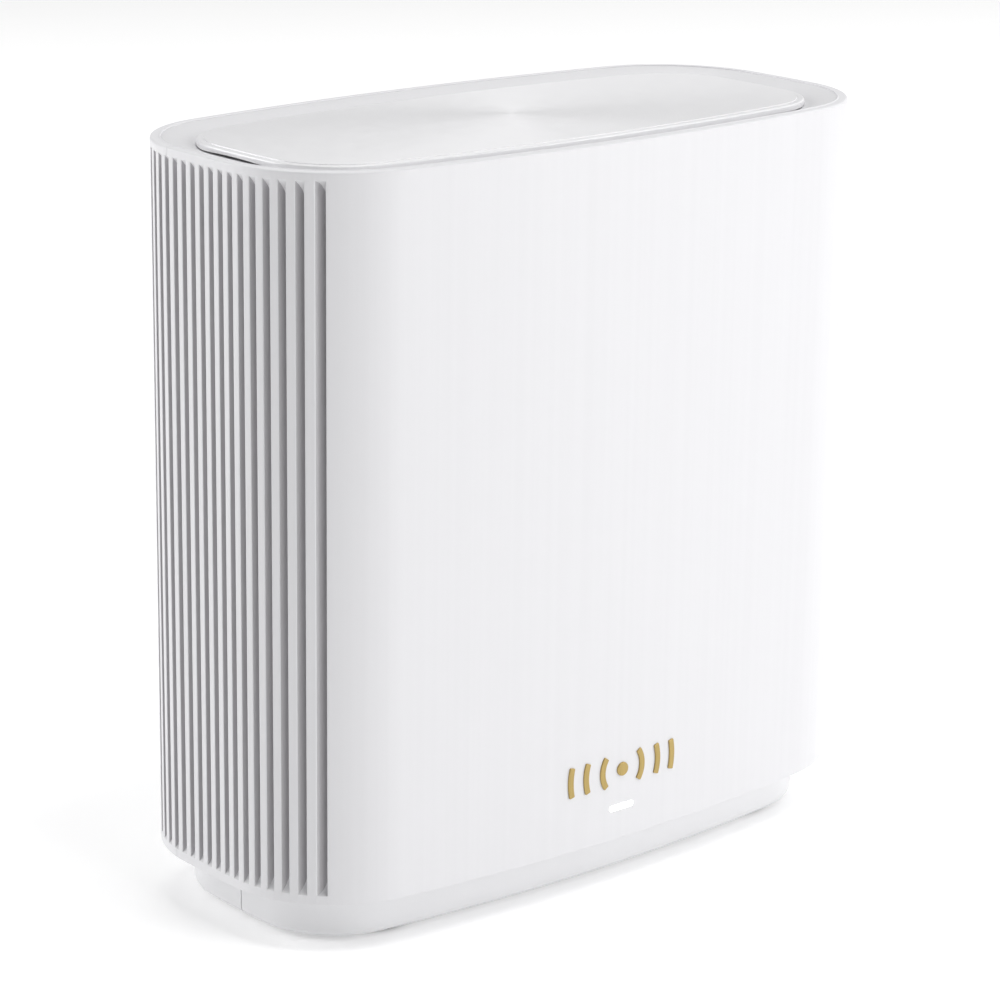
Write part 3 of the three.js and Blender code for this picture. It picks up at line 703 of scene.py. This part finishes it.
# bearing (degrees round from the front towards the left, and degrees up), side in metres, power in watts
LAMPS = {
    "left_box": ((140, 20), 1.0, 13.5),
    "right_box": ((-105, 32), 1.0, 3.4),
    "front_box": ((-35, 14), 1.0, 10.3),
    "side_box": ((-64, 36), 1.0, 4.0),
    "back_box": ((-151, 62), 0.7, 5.8),
    "edge_box": ((-8, 70), 0.5, 8.1),
}


def make_camera():
    ahead = Vector((math.sin(YAW) * math.cos(PITCH), math.cos(YAW) * math.cos(PITCH), -math.sin(PITCH)))
    level = Vector((math.cos(YAW), -math.sin(YAW), 0))
    up = level.cross(ahead)
    right = level * math.cos(ROLL) + up * math.sin(ROLL)
    up = up * math.cos(ROLL) - level * math.sin(ROLL)
    camera = bpy.data.objects.new("camera", bpy.data.cameras.new("camera"))
    bpy.context.scene.collection.objects.link(camera)
    turn = Matrix((right, up, -ahead)).transposed().to_4x4()
    camera.matrix_world = Matrix.Translation(AIM - ahead * DISTANCE) @ turn
    camera.data.lens = LENS_MM
    camera.data.shift_x, camera.data.shift_y = SHIFT
    camera.data.clip_start, camera.data.clip_end = 0.01, 50
    bpy.context.scene.camera = camera


def softbox(name, bearing, size, power):
    """A soft square lamp, turned towards the router."""
    light = bpy.data.lights.new(name, "AREA")
    light.shape = "RECTANGLE"
    light.size = light.size_y = size
    light.energy = power
    obj = bpy.data.objects.new(name, light)
    obj.visible_camera = False
    bpy.context.scene.collection.objects.link(obj)
    round_, up = (math.radians(angle) for angle in bearing)
    away = Vector((-math.sin(round_) * math.cos(up), -math.cos(round_) * math.cos(up), math.sin(up)))
    obj.location = LAMP_AIM + away * LAMP_DISTANCE
    obj.rotation_euler = away.to_track_quat("Z", "Y").to_euler()


def make_stage():
    world = bpy.data.worlds.new("studio")
    bpy.context.scene.world = world
    world.use_nodes = True
    background = world.node_tree.nodes["Background"]
    background.inputs["Color"].default_value = (1, 1, 1, 1)
    background.inputs["Strength"].default_value = 0.3
    for name, lamp in LAMPS.items():
        softbox(name, *lamp)

    paper, glow = (0.96, 0.96, 0.96), (1, 1, 1, 1)
    floor_paint = Shader("floor_paper", paper, 0.9, Emission_Color=glow, Emission_Strength=0.2)
    floor_paint.tint(floor_paint.noise(3), 0.99)
    floor_paint.bump(floor_paint.noise(900), 0.01)
    half = 6000
    floor = make_mesh(
        "floor", [(-half, -half, 0), (half, -half, 0), (half, half, 0), (-half, half, 0)],
        [(0, 1, 2, 3)], [floor_paint.material], weighted=False,
    )
    bpy.context.scene.view_settings.view_transform = "Standard"
    bpy.context.scene.view_settings.look = "None"


make_camera()
make_stage()

place(half_shell("front_shell_skin", -1), "shell_white", "front_shell")
place(half_shell("rear_cover_skin", 1), "shell_white", "rear_cover")


# ---- top ----
def dish_profile():
    """From the lip down into the dish on a smooth S, then flat under the plate."""
    start, stop, high, low = 2.5, 10.5, 160.72, 158.55
    for i in range(13):
        t = i / 12
        ease = t * t * (3 - 2 * t) * 0.55 + t * 0.45
        yield start + (stop - start) * t, high + (low - high) * ease


def top_bezel():
    profile = [
        (2.31, 158.85), (2.31, 160.66), (2.34, 160.71), (2.4, 160.735), *dish_profile(),
        (13.0, 158.45), (13.0, 156.4), (5.6, 156.4), (5.6, 158.85),
    ]
    points, faces = loft(BODY, profile, closed=True)
    return make_mesh("top_bezel_skin", points, faces, [BEZEL_WHITE_PAINTED_SHADE], sharp=40)


PLATE_BOTTOM, PLATE_TOP, PLATE_CROWN = 158.95, 160.3, 0.44
PLATE_ROUND, PLATE_BORDER, PLATE_STEP = 0.4, 1.4, 0.16
END_LIFT, END_REACH, END_MIDDLE = 0.29, 9.5, 1.8
POST = {"x": 57, "y": 10, "bottom": 153.6}


def top_plate():
    """A crowned plate on four posts. A groove and a fine step part its border from the middle, and its
    underside rises a little at both ends."""
    profile = [(0.3, PLATE_BOTTOM), (0.06, PLATE_BOTTOM + 0.06), (0.0, PLATE_BOTTOM + 0.2)]
    profile += [(u * PLATE_ROUND, PLATE_TOP - (1 - v) * PLATE_ROUND) for u, v in quarter_round(6)]
    border, groove, top = PLATE_BORDER, PLATE_TOP - 0.07, PLATE_TOP + PLATE_STEP
    profile += [(border - 0.14, PLATE_TOP + 0.02), (border - 0.04, PLATE_TOP)]
    profile += [(border, groove), (border + 0.1, groove)]
    profile += [(border + 0.12, top - 0.1), (border + 0.16, top - 0.03), (border + 0.24, top)]
    inner = border + 0.36
    for i in range(13):
        scale = 1 - i / 13
        profile.append((inner, top + PLATE_CROWN * (1 - scale**2), scale))
    points, faces = loft(PLATE, profile)
    points[-1] = (0, 0, top + PLATE_CROWN)
    line = outline(PLATE)
    for i, (at, _) in enumerate(line):
        if abs(at.x) > POST["x"]:
            lift = END_LIFT * max(0.0, 1 - ((at.y - END_MIDDLE) / END_REACH) ** 2)
            for k in (i, len(line) + i, 2 * len(line) + i):
                points[k] = (*points[k][:2], points[k][2] + lift)
    post = [(1.7, POST["bottom"]), (2.0, POST["bottom"] + 0.3), (2.0, PLATE_BOTTOM + 0.4)]
    posts = [turned(post, upright(x, y), 32) for x, y in four(POST["x"], POST["y"])]
    return make_mesh("top_plate_skin", *merged((points, faces), *posts), [PLATE_WHITE], sharp=50)


place(top_bezel(), "bezel_white", "top_bezel")
place(top_plate(), "plate_white", "top_plate")


# ---- base ----
FOOT = {"r": 6.0, "x": 52, "y": 20, "top": 1.6}
SCREW = {"x": 34, "y": 22, "head": 2.6, "low": 1.25, "high": 2.85, "tip": 17.5}
LABEL = {"x": 27, "y": 15.5, "half": 9.5, "low": 0.88, "high": 1.18}


def base_half(name, side):
    """One half of the tray, with its rounded lower edge and the recesses for feet, screws and label."""
    low, high, round_r = FOOT_PROUD, BODY_BOTTOM - 0.05, 1.8
    profile = [(BASE_INSET + round_r - round_r * u, low + round_r * v) for v, u in quarter_round(6)]
    profile += [
        (BASE_INSET, high), (BASE_INSET + 2, high), (BASE_INSET + 2, low + 3.2), (BASE_INSET + 6, low + 3),
    ]
    y = BASE_SPLIT_Y + side * BASE_GAP / 2
    half = half_of(name, loft(BODY, profile), [BASE_WHITE], y, side, weighted=False)
    holes = (FOOT, FOOT["r"] + 0.3, FOOT["top"] + 0.1), (SCREW, SCREW["head"] + 0.4, SCREW["high"] + 0.05)
    cutters = []
    for i in (-1, 1):
        for item, radius, top in holes:
            cutters.append(turned([(radius, -1), (radius, top)], upright(i * item["x"], side * item["y"])))
    if side > 0:
        rim = rounded(LABEL["x"] + 0.3, LABEL["half"] + 0.3, 1.8)
        cutters.append(stack([(rim, -1), (rim, LABEL["high"] + 0.07)], upright(0, LABEL["y"])))
    return sharpen(cut(half, *cutters))


place(base_half("base_front_skin", -1), "base_white", "base_front")
place(base_half("base_rear_skin", 1), "base_white", "base_rear")


def foot(x, y):
    """A rubber foot with a rounded rim and fine rings underneath."""
    profile = [(0.6, 0.25), (0.9, 0.08), (1.2, 0.0)]
    for ring in (1.9, 2.8, 3.7, 4.6):
        profile += [(ring - 0.2, 0.0), (ring, 0.14), (ring + 0.2, 0.0)]
    profile += [(5.35, 0.0), (5.66, 0.09), (5.88, 0.3), (FOOT["r"], 0.62), (FOOT["r"], FOOT["top"])]
    return turned(profile, upright(x, y), sides=64)


def base_screw(name, x, y):
    """A pan-head screw seen from below, with a cross recess and a threaded shank."""
    low, high, head = SCREW["low"], SCREW["high"], SCREW["head"]
    profile = [(0.5, low), (1.6, low + 0.04), (2.1, low + 0.16), (2.45, low + 0.42), (head, low + 0.8)]
    profile += [(head, high - 0.1), (head - 0.1, high), (1.1, high)]
    turn, height = 0.7, high + 0.5
    while height + turn < SCREW["tip"] - turn:
        profile += [(0.85, height), (1.1, height + turn / 2)]
        height += turn
    profile += [(0.85, height), (0.3, SCREW["tip"])]
    screw = make_mesh(name, *turned(profile, upright(x, y), sides=40), [STEEL], weighted=False)
    arms = []
    for long_u, long_v in ((1.35, 0.3), (0.3, 1.35)):
        wide, narrow = rounded(long_u, long_v, 0.08, 2), rounded(long_u * 0.45, long_v * 0.8, 0.05, 2)
        arms.append(stack([(wide, low - 0.5), (wide, low + 0.1), (narrow, low + 0.9)], upright(x, y)))
    return sharpen(cut(screw, *arms))


def label_plate():
    """A plain label with rounded corners and a fine sunk border."""
    x, half, low, high = LABEL["x"], LABEL["half"], LABEL["low"], LABEL["high"]
    contours = [(rounded(x, half, 1.5), high), (rounded(x, half, 1.5), low + 0.05)]
    for inset, z in ((0.05, low), (0.8, low), (0.9, low + 0.06), (1.05, low + 0.06), (1.15, low)):
        contours.append((rounded(x - inset, half - inset, 1.5 - inset / 2), z))
    return stack(contours, upright(0, LABEL["y"]))


for number, (x, y) in enumerate(four(FOOT["x"], FOOT["y"]), 1):
    place(make_mesh(f"foot_{number}_skin", *foot(x, y), [RUBBER]), "foot_rubber", f"foot_{number}")
for number, (x, y) in enumerate(four(SCREW["x"], SCREW["y"]), 1):
    place(base_screw(f"base_screw_{number}_skin", x, y), "screw_steel", f"base_screw_{number}")
place(make_mesh("label_plate_skin", *label_plate(), [LABEL_GREY]), "label_grey", "label_plate")


# ---- emblem and light ----
EMBLEM = {"z": 26.55, "dot": 1.5, "waves": (5.6, 10.2, 14.4), "stroke": 1.35, "half": 3.3}
LENS = {"z": 18.1, "u": 3.4, "v": 0.66}
MARK_PROFILE = [(0.0, -0.05), (0.0, 0.24), (0.03, 0.31), (0.1, 0.35)]


def front_wall(x):
    """Where the bowed front stands at x."""
    return BODY["r1"] - BODY["b"] - math.sqrt(BODY["r1"] ** 2 - x**2)


def on_front(to_xz):
    """Puts a contour on the bowed front; heights stand out of it."""

    def put(u, v, h):
        x, z = to_xz(u, v)
        return (x, front_wall(x) - h, z)

    return put


def wave_contour(half_u, half_v, inset, height):
    """A bar with round corners whose long sides are cut into as many steps at every inset."""
    corners = rounded(half_u - inset, half_v - inset, 0.22 - inset, 3)
    line = []
    for k, (u0, v0) in enumerate(corners):
        u1, v1 = corners[(k + 1) % len(corners)]
        parts = 18 if abs(v1 - v0) > half_v else 1
        line += [(u0 + (u1 - u0) * s / parts, v0 + (v1 - v0) * s / parts) for s in range(parts)]
    return line, height


def emblem():
    """A dot with three waves on each side, standing a little out of the front."""
    dot = [(circle(EMBLEM["dot"] - inset), h) for inset, h in MARK_PROFILE]
    marks = [stack(dot, on_front(lambda u, v: (u, EMBLEM["z"] + v)))]
    for radius in EMBLEM["waves"]:
        reach = radius * math.asin(EMBLEM["half"] / radius)
        wave = [wave_contour(EMBLEM["stroke"] / 2, reach, inset, h) for inset, h in MARK_PROFILE]
        for side in (-1, 1):

            def bend(u, v, radius=radius, side=side):
                angle = v / radius
                return side * (radius + u) * math.cos(angle), EMBLEM["z"] + (radius + u) * math.sin(angle)

            marks.append(stack(wave, on_front(bend)))
    return make_mesh("emblem_skin", *merged(*marks), [GOLD])


def light_bar():
    """A lens with round ends and a softened rim."""
    long, tall = LENS["u"], LENS["v"]
    steps = (0.0, -0.6), (0.0, 0.02), (0.04, 0.05), (0.3, 0.06)
    contours = [(rounded(long - i, tall - i, tall - i - 0.01, 8), h) for i, h in steps]
    lens = stack(contours, on_front(lambda u, v: (u, LENS["z"] + v)))
    return make_mesh("light_bar_skin", *lens, [LIGHT])


place(emblem(), "emblem_gold", "emblem")
place(light_bar(), "light_white", "light_guide")


# ---- rear ports ----
PANEL = {"x": 57.6, "low": 15.4, "high": 36.6, "face": 33.0, "back": 31.0}
PORT_FACE = 30.7
JACKS = {"wan_jack": -31.5, "lan_jack_1": -15.8, "lan_jack_2": -0.1, "lan_jack_3": 15.6}
JACK = {"u": 7.7, "v": 6.7, "open": 5.9, "slot": 3.1, "low": 20.8, "latch": 23.2, "high": 31.2, "depth": 12}
CONTACT_PITCH = 1.02
USB = {"x": 31.5, "u": 7.1, "v": 3.5, "wall": 0.7, "depth": 10.0, "tongue": 5.7}
DC = {"x": -44.1, "half": 4.0, "bore": 2.8, "pin": 1.0, "depth": 9.0}
BEHIND_BOARD = 8.65
STEM_BACK, COLLAR_BACK, COLLAR_FRONT = 20.0, 29.4, 30.6
POWER = {"x": -52.4, "cap": 3.3, "face": 34.6, "stem": 1.4}
WPS = {"x": 49.2, "cap": 3.3, "face": 33.8, "stem": 1.4}
RESET = {"x": 41.3, "cap": 0.8, "face": 29.8, "stem": 0.8}
CAP_DISH = 0.19
SIGN_RISE = 7.6


def through_panel(line, x):
    """A contour carried through the panel, to cut a window."""
    return stack([(line, PANEL["back"] - 3), (line, PANEL["face"] + 2)], facing(x, PORT_Z))


def port_panel():
    """The panel with a window for every port and key, chamfered all round."""
    height = (PANEL["high"] - PANEL["low"]) / 2
    middle = (PANEL["high"] + PANEL["low"]) / 2
    line = rounded(PANEL["x"], height, 0.5, 2)
    plate = stack([(line, PANEL["back"]), (line, PANEL["face"])], facing(0, middle))
    panel = make_mesh("port_panel_skin", *plate, [PANEL_WHITE], weighted=False)
    windows = [through_panel(rounded(JACK["open"] + 0.4, 5.6, 0.3, 3), x) for x in JACKS.values()]
    windows.append(through_panel(rounded(USB["u"], USB["v"], 0.9, 3), USB["x"]))
    for item, radius in ((DC, 3.2), (POWER, 3.6), (WPS, 3.6), (RESET, 0.9)):
        windows.append(through_panel(circle(radius, 56), item["x"]))
    return bevel(sharpen(cut(panel, *windows)), 0.18)


def rear_wall(x):
    """Where the skin of the rear stands at x."""
    front, _, corner = arc_centres(BODY)
    meet = front + (corner - front).normalized() * BODY["r1"]
    if abs(x) < meet.x:
        return front.y + math.sqrt(BODY["r1"] ** 2 - x**2)
    return corner.y + math.sqrt(BODY["rc"] ** 2 - (abs(x) - corner.x) ** 2)


def recess_frame():
    """The walls of the port recess, from beside the panel to just under the skin of the rear cover."""
    steps, thick, inside, back = 32, 1.2, 0.02, PANEL["back"] + 0.05
    across = [2 * i / steps - 1 for i in range(steps + 1)]

    def ring(grow, deep):
        half, low, high = RECESS["x"] + grow, RECESS["low"] - grow, RECESS["high"] + grow
        line = [(u * half, low) for u in across] + [(u * half, high) for u in reversed(across)]
        return [(x, back if deep else rear_wall(x) - 0.4, z) for x, z in line]

    points = ring(thick, True) + ring(thick, False) + ring(inside, False) + ring(inside, True)
    return make_mesh("recess_frame", points, bands(4, len(points) // 4, closed=True), [WHITE])


def jack_shield(name, x):
    """A modular jack: a sheet-metal shield whose front is cut to the shape of the plug."""
    low, high = JACK["low"], JACK["high"]
    line = rounded(JACK["u"], JACK["v"], 0.35, 3)
    can = stack([(line, BEHIND_BOARD), (line, PORT_FACE)], facing(x, PORT_Z))
    body = make_mesh(name, *can, [SOCKET], weighted=False)
    middle = (JACK["latch"] + high) / 2
    inside = PORT_FACE - JACK["depth"] - 0.6
    main = rounded(JACK["open"], (high - JACK["latch"]) / 2, 0.15, 2)
    slot = rounded(JACK["slot"], (JACK["latch"] - low) / 2 + 0.4, 0.15, 2)
    cutters = [
        stack([(main, inside), (main, PORT_FACE + 1)], facing(x, middle)),
        stack([(slot, inside), (slot, PORT_FACE + 1)], facing(x, (low + JACK["latch"]) / 2 + 0.4)),
    ]
    return bevel(sharpen(cut(body, *cutters)), 0.08)


def jack_insert(name, x):
    """The dark insulator that lines the jack, with a ledge that the contacts spring from."""
    low, high, latch = JACK["low"], JACK["high"], JACK["latch"]
    front, back = PORT_FACE - 0.35, PORT_FACE - JACK["depth"] - 0.5
    gap, thin = 0.01, 0.12
    wide, narrow = JACK["open"] - gap, JACK["slot"] - gap
    pieces = [
        block(x - wide + gap, x + wide - gap, back, back + 0.5, latch, high - 2 * gap),
        block(x - narrow + gap, x + narrow - gap, back, back + 0.5, low + 2 * gap, latch),
        block(x - wide, x + wide, back, front, high - thin, high - gap),
        block(x - narrow, x + narrow, back, front, low + gap, low + thin),
        block(x - 4.6, x + 4.6, back, PORT_FACE - 7.5, latch + 3.4, latch + 4.4),
    ]
    for side in (-1, 1):
        far, near = x + side * wide, x + side * narrow
        pieces += [
            block(x + side * (JACK["open"] - thin), far, back, front, latch + gap, high - gap),
            block(near, far, back, front, latch + gap, latch + thin),
            block(x + side * (JACK["slot"] - thin), near, back, front, low + gap, latch + thin),
        ]
    for k in range(9):
        at = x + (k - 4) * CONTACT_PITCH
        pieces.append(block(at - 0.14, at + 0.14, back, PORT_FACE - 1.6, high - 1.1, high - 0.05))
    return make_mesh(name, *merged(*pieces), [BLACK])


def jack_contacts(name, x):
    """Eight gilded springs that slope back from the jack's ceiling."""
    path = (1.7, 0.35), (2.1, 0.62), (2.8, 0.95), (5.2, 2.1), (8.2, 3.45)
    springs = []
    for k in range(8):
        at = x + (k - 3.5) * CONTACT_PITCH
        line = [(rounded(0.17, 0.13, 0.05, 1), depth, JACK["high"] - drop) for depth, drop in path]
        points = [(at + u, PORT_FACE - depth, z + v) for contour, depth, z in line for u, v in contour]
        _, faces = stack([(contour, 0) for contour, _, _ in line], upright(0, 0))
        springs.append((points, faces))
    return make_mesh(name, *merged(*springs), [CONTACT])


def usb_shell():
    """A drawn metal shell, open at the front, with a rolled lip."""
    u, v, inner = USB["u"] - 0.05, USB["v"] - 0.05, USB["wall"] - 0.05
    section = [
        (0.0, 0.85, BEHIND_BOARD), (0.0, 0.85, PORT_FACE - 0.12), (0.04, 0.8, PORT_FACE - 0.03),
        (0.15, 0.75, PORT_FACE), (0.3, 0.7, PORT_FACE - 0.03), (0.36, 0.65, PORT_FACE - 0.14),
        (inner - 0.15, 0.5, PORT_FACE - 0.6), (inner, 0.4, PORT_FACE - 1.2),
        (inner, 0.4, PORT_FACE - USB["depth"]),
    ]
    contours = [(rounded(u - inset, v - inset, radius), y) for inset, radius, y in section]
    return make_mesh("usb_shell", *stack(contours, facing(USB["x"], PORT_Z)), [SOCKET])


def usb_tongue():
    """The socket's blue tongue, and the contacts on it."""
    low, thick = PORT_Z, 1.8
    front, back = PORT_FACE - 1.0, PORT_FACE - USB["depth"] - 0.2
    section = (0.0, 0.9, back), (0.0, 0.9, front - 0.25), (0.2, 0.72, front)
    contours = [(rounded(USB["tongue"] - inset, half, 0.1, 2), y) for inset, half, y in section]
    tongue = make_mesh("usb_tongue", *stack(contours, facing(USB["x"], low + thick / 2)), [USB_BLUE])
    strips = []
    for at in (-3.5, -1.0, 1.0, 3.5):
        x = USB["x"] + at
        strips.append(block(x - 0.5, x + 0.5, back + 1, front - 0.5, low - 0.06, low + 0.1))
    return tongue, make_mesh("usb_contacts", *merged(*strips), [CONTACT])


def dc_inlet():
    """A round power inlet in a square body, its bore chamfered, and its pin and spring."""
    floor, half = PORT_FACE - DC["depth"], DC["half"]
    square, bore = rounded(half, half, 0.5, 11), DC["bore"]
    contours = [(square, BEHIND_BOARD), (square, PORT_FACE)]
    contours += [(circle(bore + 0.25), PORT_FACE), (circle(bore), PORT_FACE - 0.25), (circle(bore), floor)]
    pin = [(DC["pin"], floor - 0.1), (DC["pin"], PORT_FACE - 1.5), (0.85, PORT_FACE - 1.15)]
    pin += [(0.5, PORT_FACE - 1.0), (0.45, PORT_FACE - 1.05), (0.45, PORT_FACE - 3.0)]
    spring = [(0.45, floor), (0.45, PORT_FACE - 2.2), (0.2, PORT_FACE - 2.0)]
    put, spring_put = facing(DC["x"], PORT_Z), facing(DC["x"] - bore + 0.35, PORT_Z)
    metal = merged(turned(pin, put, 32), turned(spring, spring_put, 16))
    return make_mesh("dc_inlet_skin", *stack(contours, put), [BLACK]), make_mesh("dc_pin", *metal, [SOCKET])


def push_button(name, key, material):
    """A cap with a rounded rim and a finger dish, its collar behind the panel and a stem."""
    face, cap, stem = key["face"], key["cap"], key["stem"]
    if cap > stem:
        collar, rim = cap + 0.7, 0.55
        profile = [(stem - 0.2, STEM_BACK), (stem, STEM_BACK + 0.2), (stem, COLLAR_BACK)]
        profile += [(collar, COLLAR_BACK), (collar, COLLAR_FRONT), (cap, COLLAR_FRONT), (cap, face - rim)]
        for angle in (0.5, 1.0, 1.35):
            profile.append((cap - rim + rim * math.cos(angle), face - rim + rim * math.sin(angle)))
        profile += [(cap - 0.6, face), (cap - 0.9, face - 0.03)]
        profile += [(1.6, face - 0.13), (0.8, face - 0.18), (0.2, face - CAP_DISH)]
    else:
        profile = [(stem - 0.15, STEM_BACK), (stem, STEM_BACK + 0.15)]
        profile += [(stem, face - 0.2), (stem - 0.06, face - 0.06), (stem - 0.2, face)]
    return make_mesh(name, *turned(profile, facing(key["x"], PORT_Z), sides=64), [material])


def print_mark(name, x, face, strokes):
    """Printed strokes, each a closed contour, standing a hair above a face."""
    shapes = [stack([(line, face - 0.05), (line, face + 0.03)], facing(x, PORT_Z)) for line in strokes]
    return make_mesh(name, *merged(*shapes), [PRINT])


def ring_stroke(radius, width, start, stop):
    """An arc as a closed contour; angles in degrees."""
    steps, half = 20, width / 2
    angles = [math.radians(start + (stop - start) * i / steps) for i in range(steps + 1)]
    outer = [((radius + half) * math.cos(a), (radius + half) * math.sin(a)) for a in angles]
    inner = [((radius - half) * math.cos(a), (radius - half) * math.sin(a)) for a in angles]
    return outer + inner[::-1]


def shifted(line, du, dv):
    return [(u + du, v + dv) for u, v in line]


def port_signs():
    """The signs over the ports: dots, a globe, a stick with a dot, and two lines."""
    signs = []
    for count, node in enumerate(("lan_jack_1", "lan_jack_2", "lan_jack_3"), 1):
        for k in range(count):
            signs.append(shifted(circle(0.32, 20), JACKS[node] + (k - (count - 1) / 2) * 1.3, SIGN_RISE))
    globe = [ring_stroke(0.95, 0.16, 0, 180), ring_stroke(0.95, 0.16, 180, 360)]
    globe += [rounded(0.95, 0.07, 0.03, 1), rounded(0.07, 0.95, 0.03, 1)]
    signs += [shifted(line, JACKS["wan_jack"], SIGN_RISE) for line in globe]
    signs.append(shifted(rounded(1.3, 0.1, 0.05, 2), USB["x"], SIGN_RISE))
    signs.append(shifted(circle(0.34, 20), USB["x"] - 1.3, SIGN_RISE))
    for apart in (0.3, -0.3):
        signs.append(shifted(rounded(1.1, 0.1, 0.05, 2), DC["x"], SIGN_RISE + apart))
    return print_mark("port_signs", 0, PANEL["face"], signs)


place(port_panel(), "panel_grey", "port_panel")
place(recess_frame(), "shell_white")
for node, x in JACKS.items():
    place(jack_shield(f"{node}_shield", x), "socket_metal", node)
    place(jack_insert(f"{node}_insert", x), "plastic_black")
    place(jack_contacts(f"{node}_contacts", x), "emblem_gold")
place(usb_shell(), "socket_metal", "usb_socket")
tongue, contacts = usb_tongue()
place(tongue, "plastic_black")
place(contacts, "emblem_gold")
inlet, pin = dc_inlet()
place(inlet, "plastic_black", "dc_inlet")
place(pin, "socket_metal")

KEYS = {"power": (POWER, "button_white"), "wps": (WPS, "button_white"), "reset": (RESET, "plastic_black")}
for name, (key, slot) in KEYS.items():
    button = push_button(f"{name}_button_skin", key, SLOT_MATERIALS[slot])
    place(button, slot, f"{name}_button", body=f"{name}_key")

power_sign = [ring_stroke(0.85, 0.2, 125, 415), shifted(rounded(0.09, 0.42, 0.08, 2), 0, 0.75)]
pairing_sign = [
    shifted(ring_stroke(0.9, 0.2, start, start + 150), 0, lift) for start, lift in ((20, 0.1), (200, -0.1))
]
for name, key, strokes, body in (
    ("power_sign", POWER, power_sign, "power_key"), ("pairing_sign", WPS, pairing_sign, "wps_key"),
):
    place(print_mark(name, key["x"], key["face"] - CAP_DISH, strokes), "grille_grey", body=body)
place(port_signs(), "grille_grey")


# ---- CAD nodes: each takes its slot's material ----
for part in frame["record"]["subparts"]:
    mesh = frame["nodes"][part["node"]].data
    mesh.materials.clear()
    mesh.materials.append(SLOT_MATERIALS[part["material_slot"]])
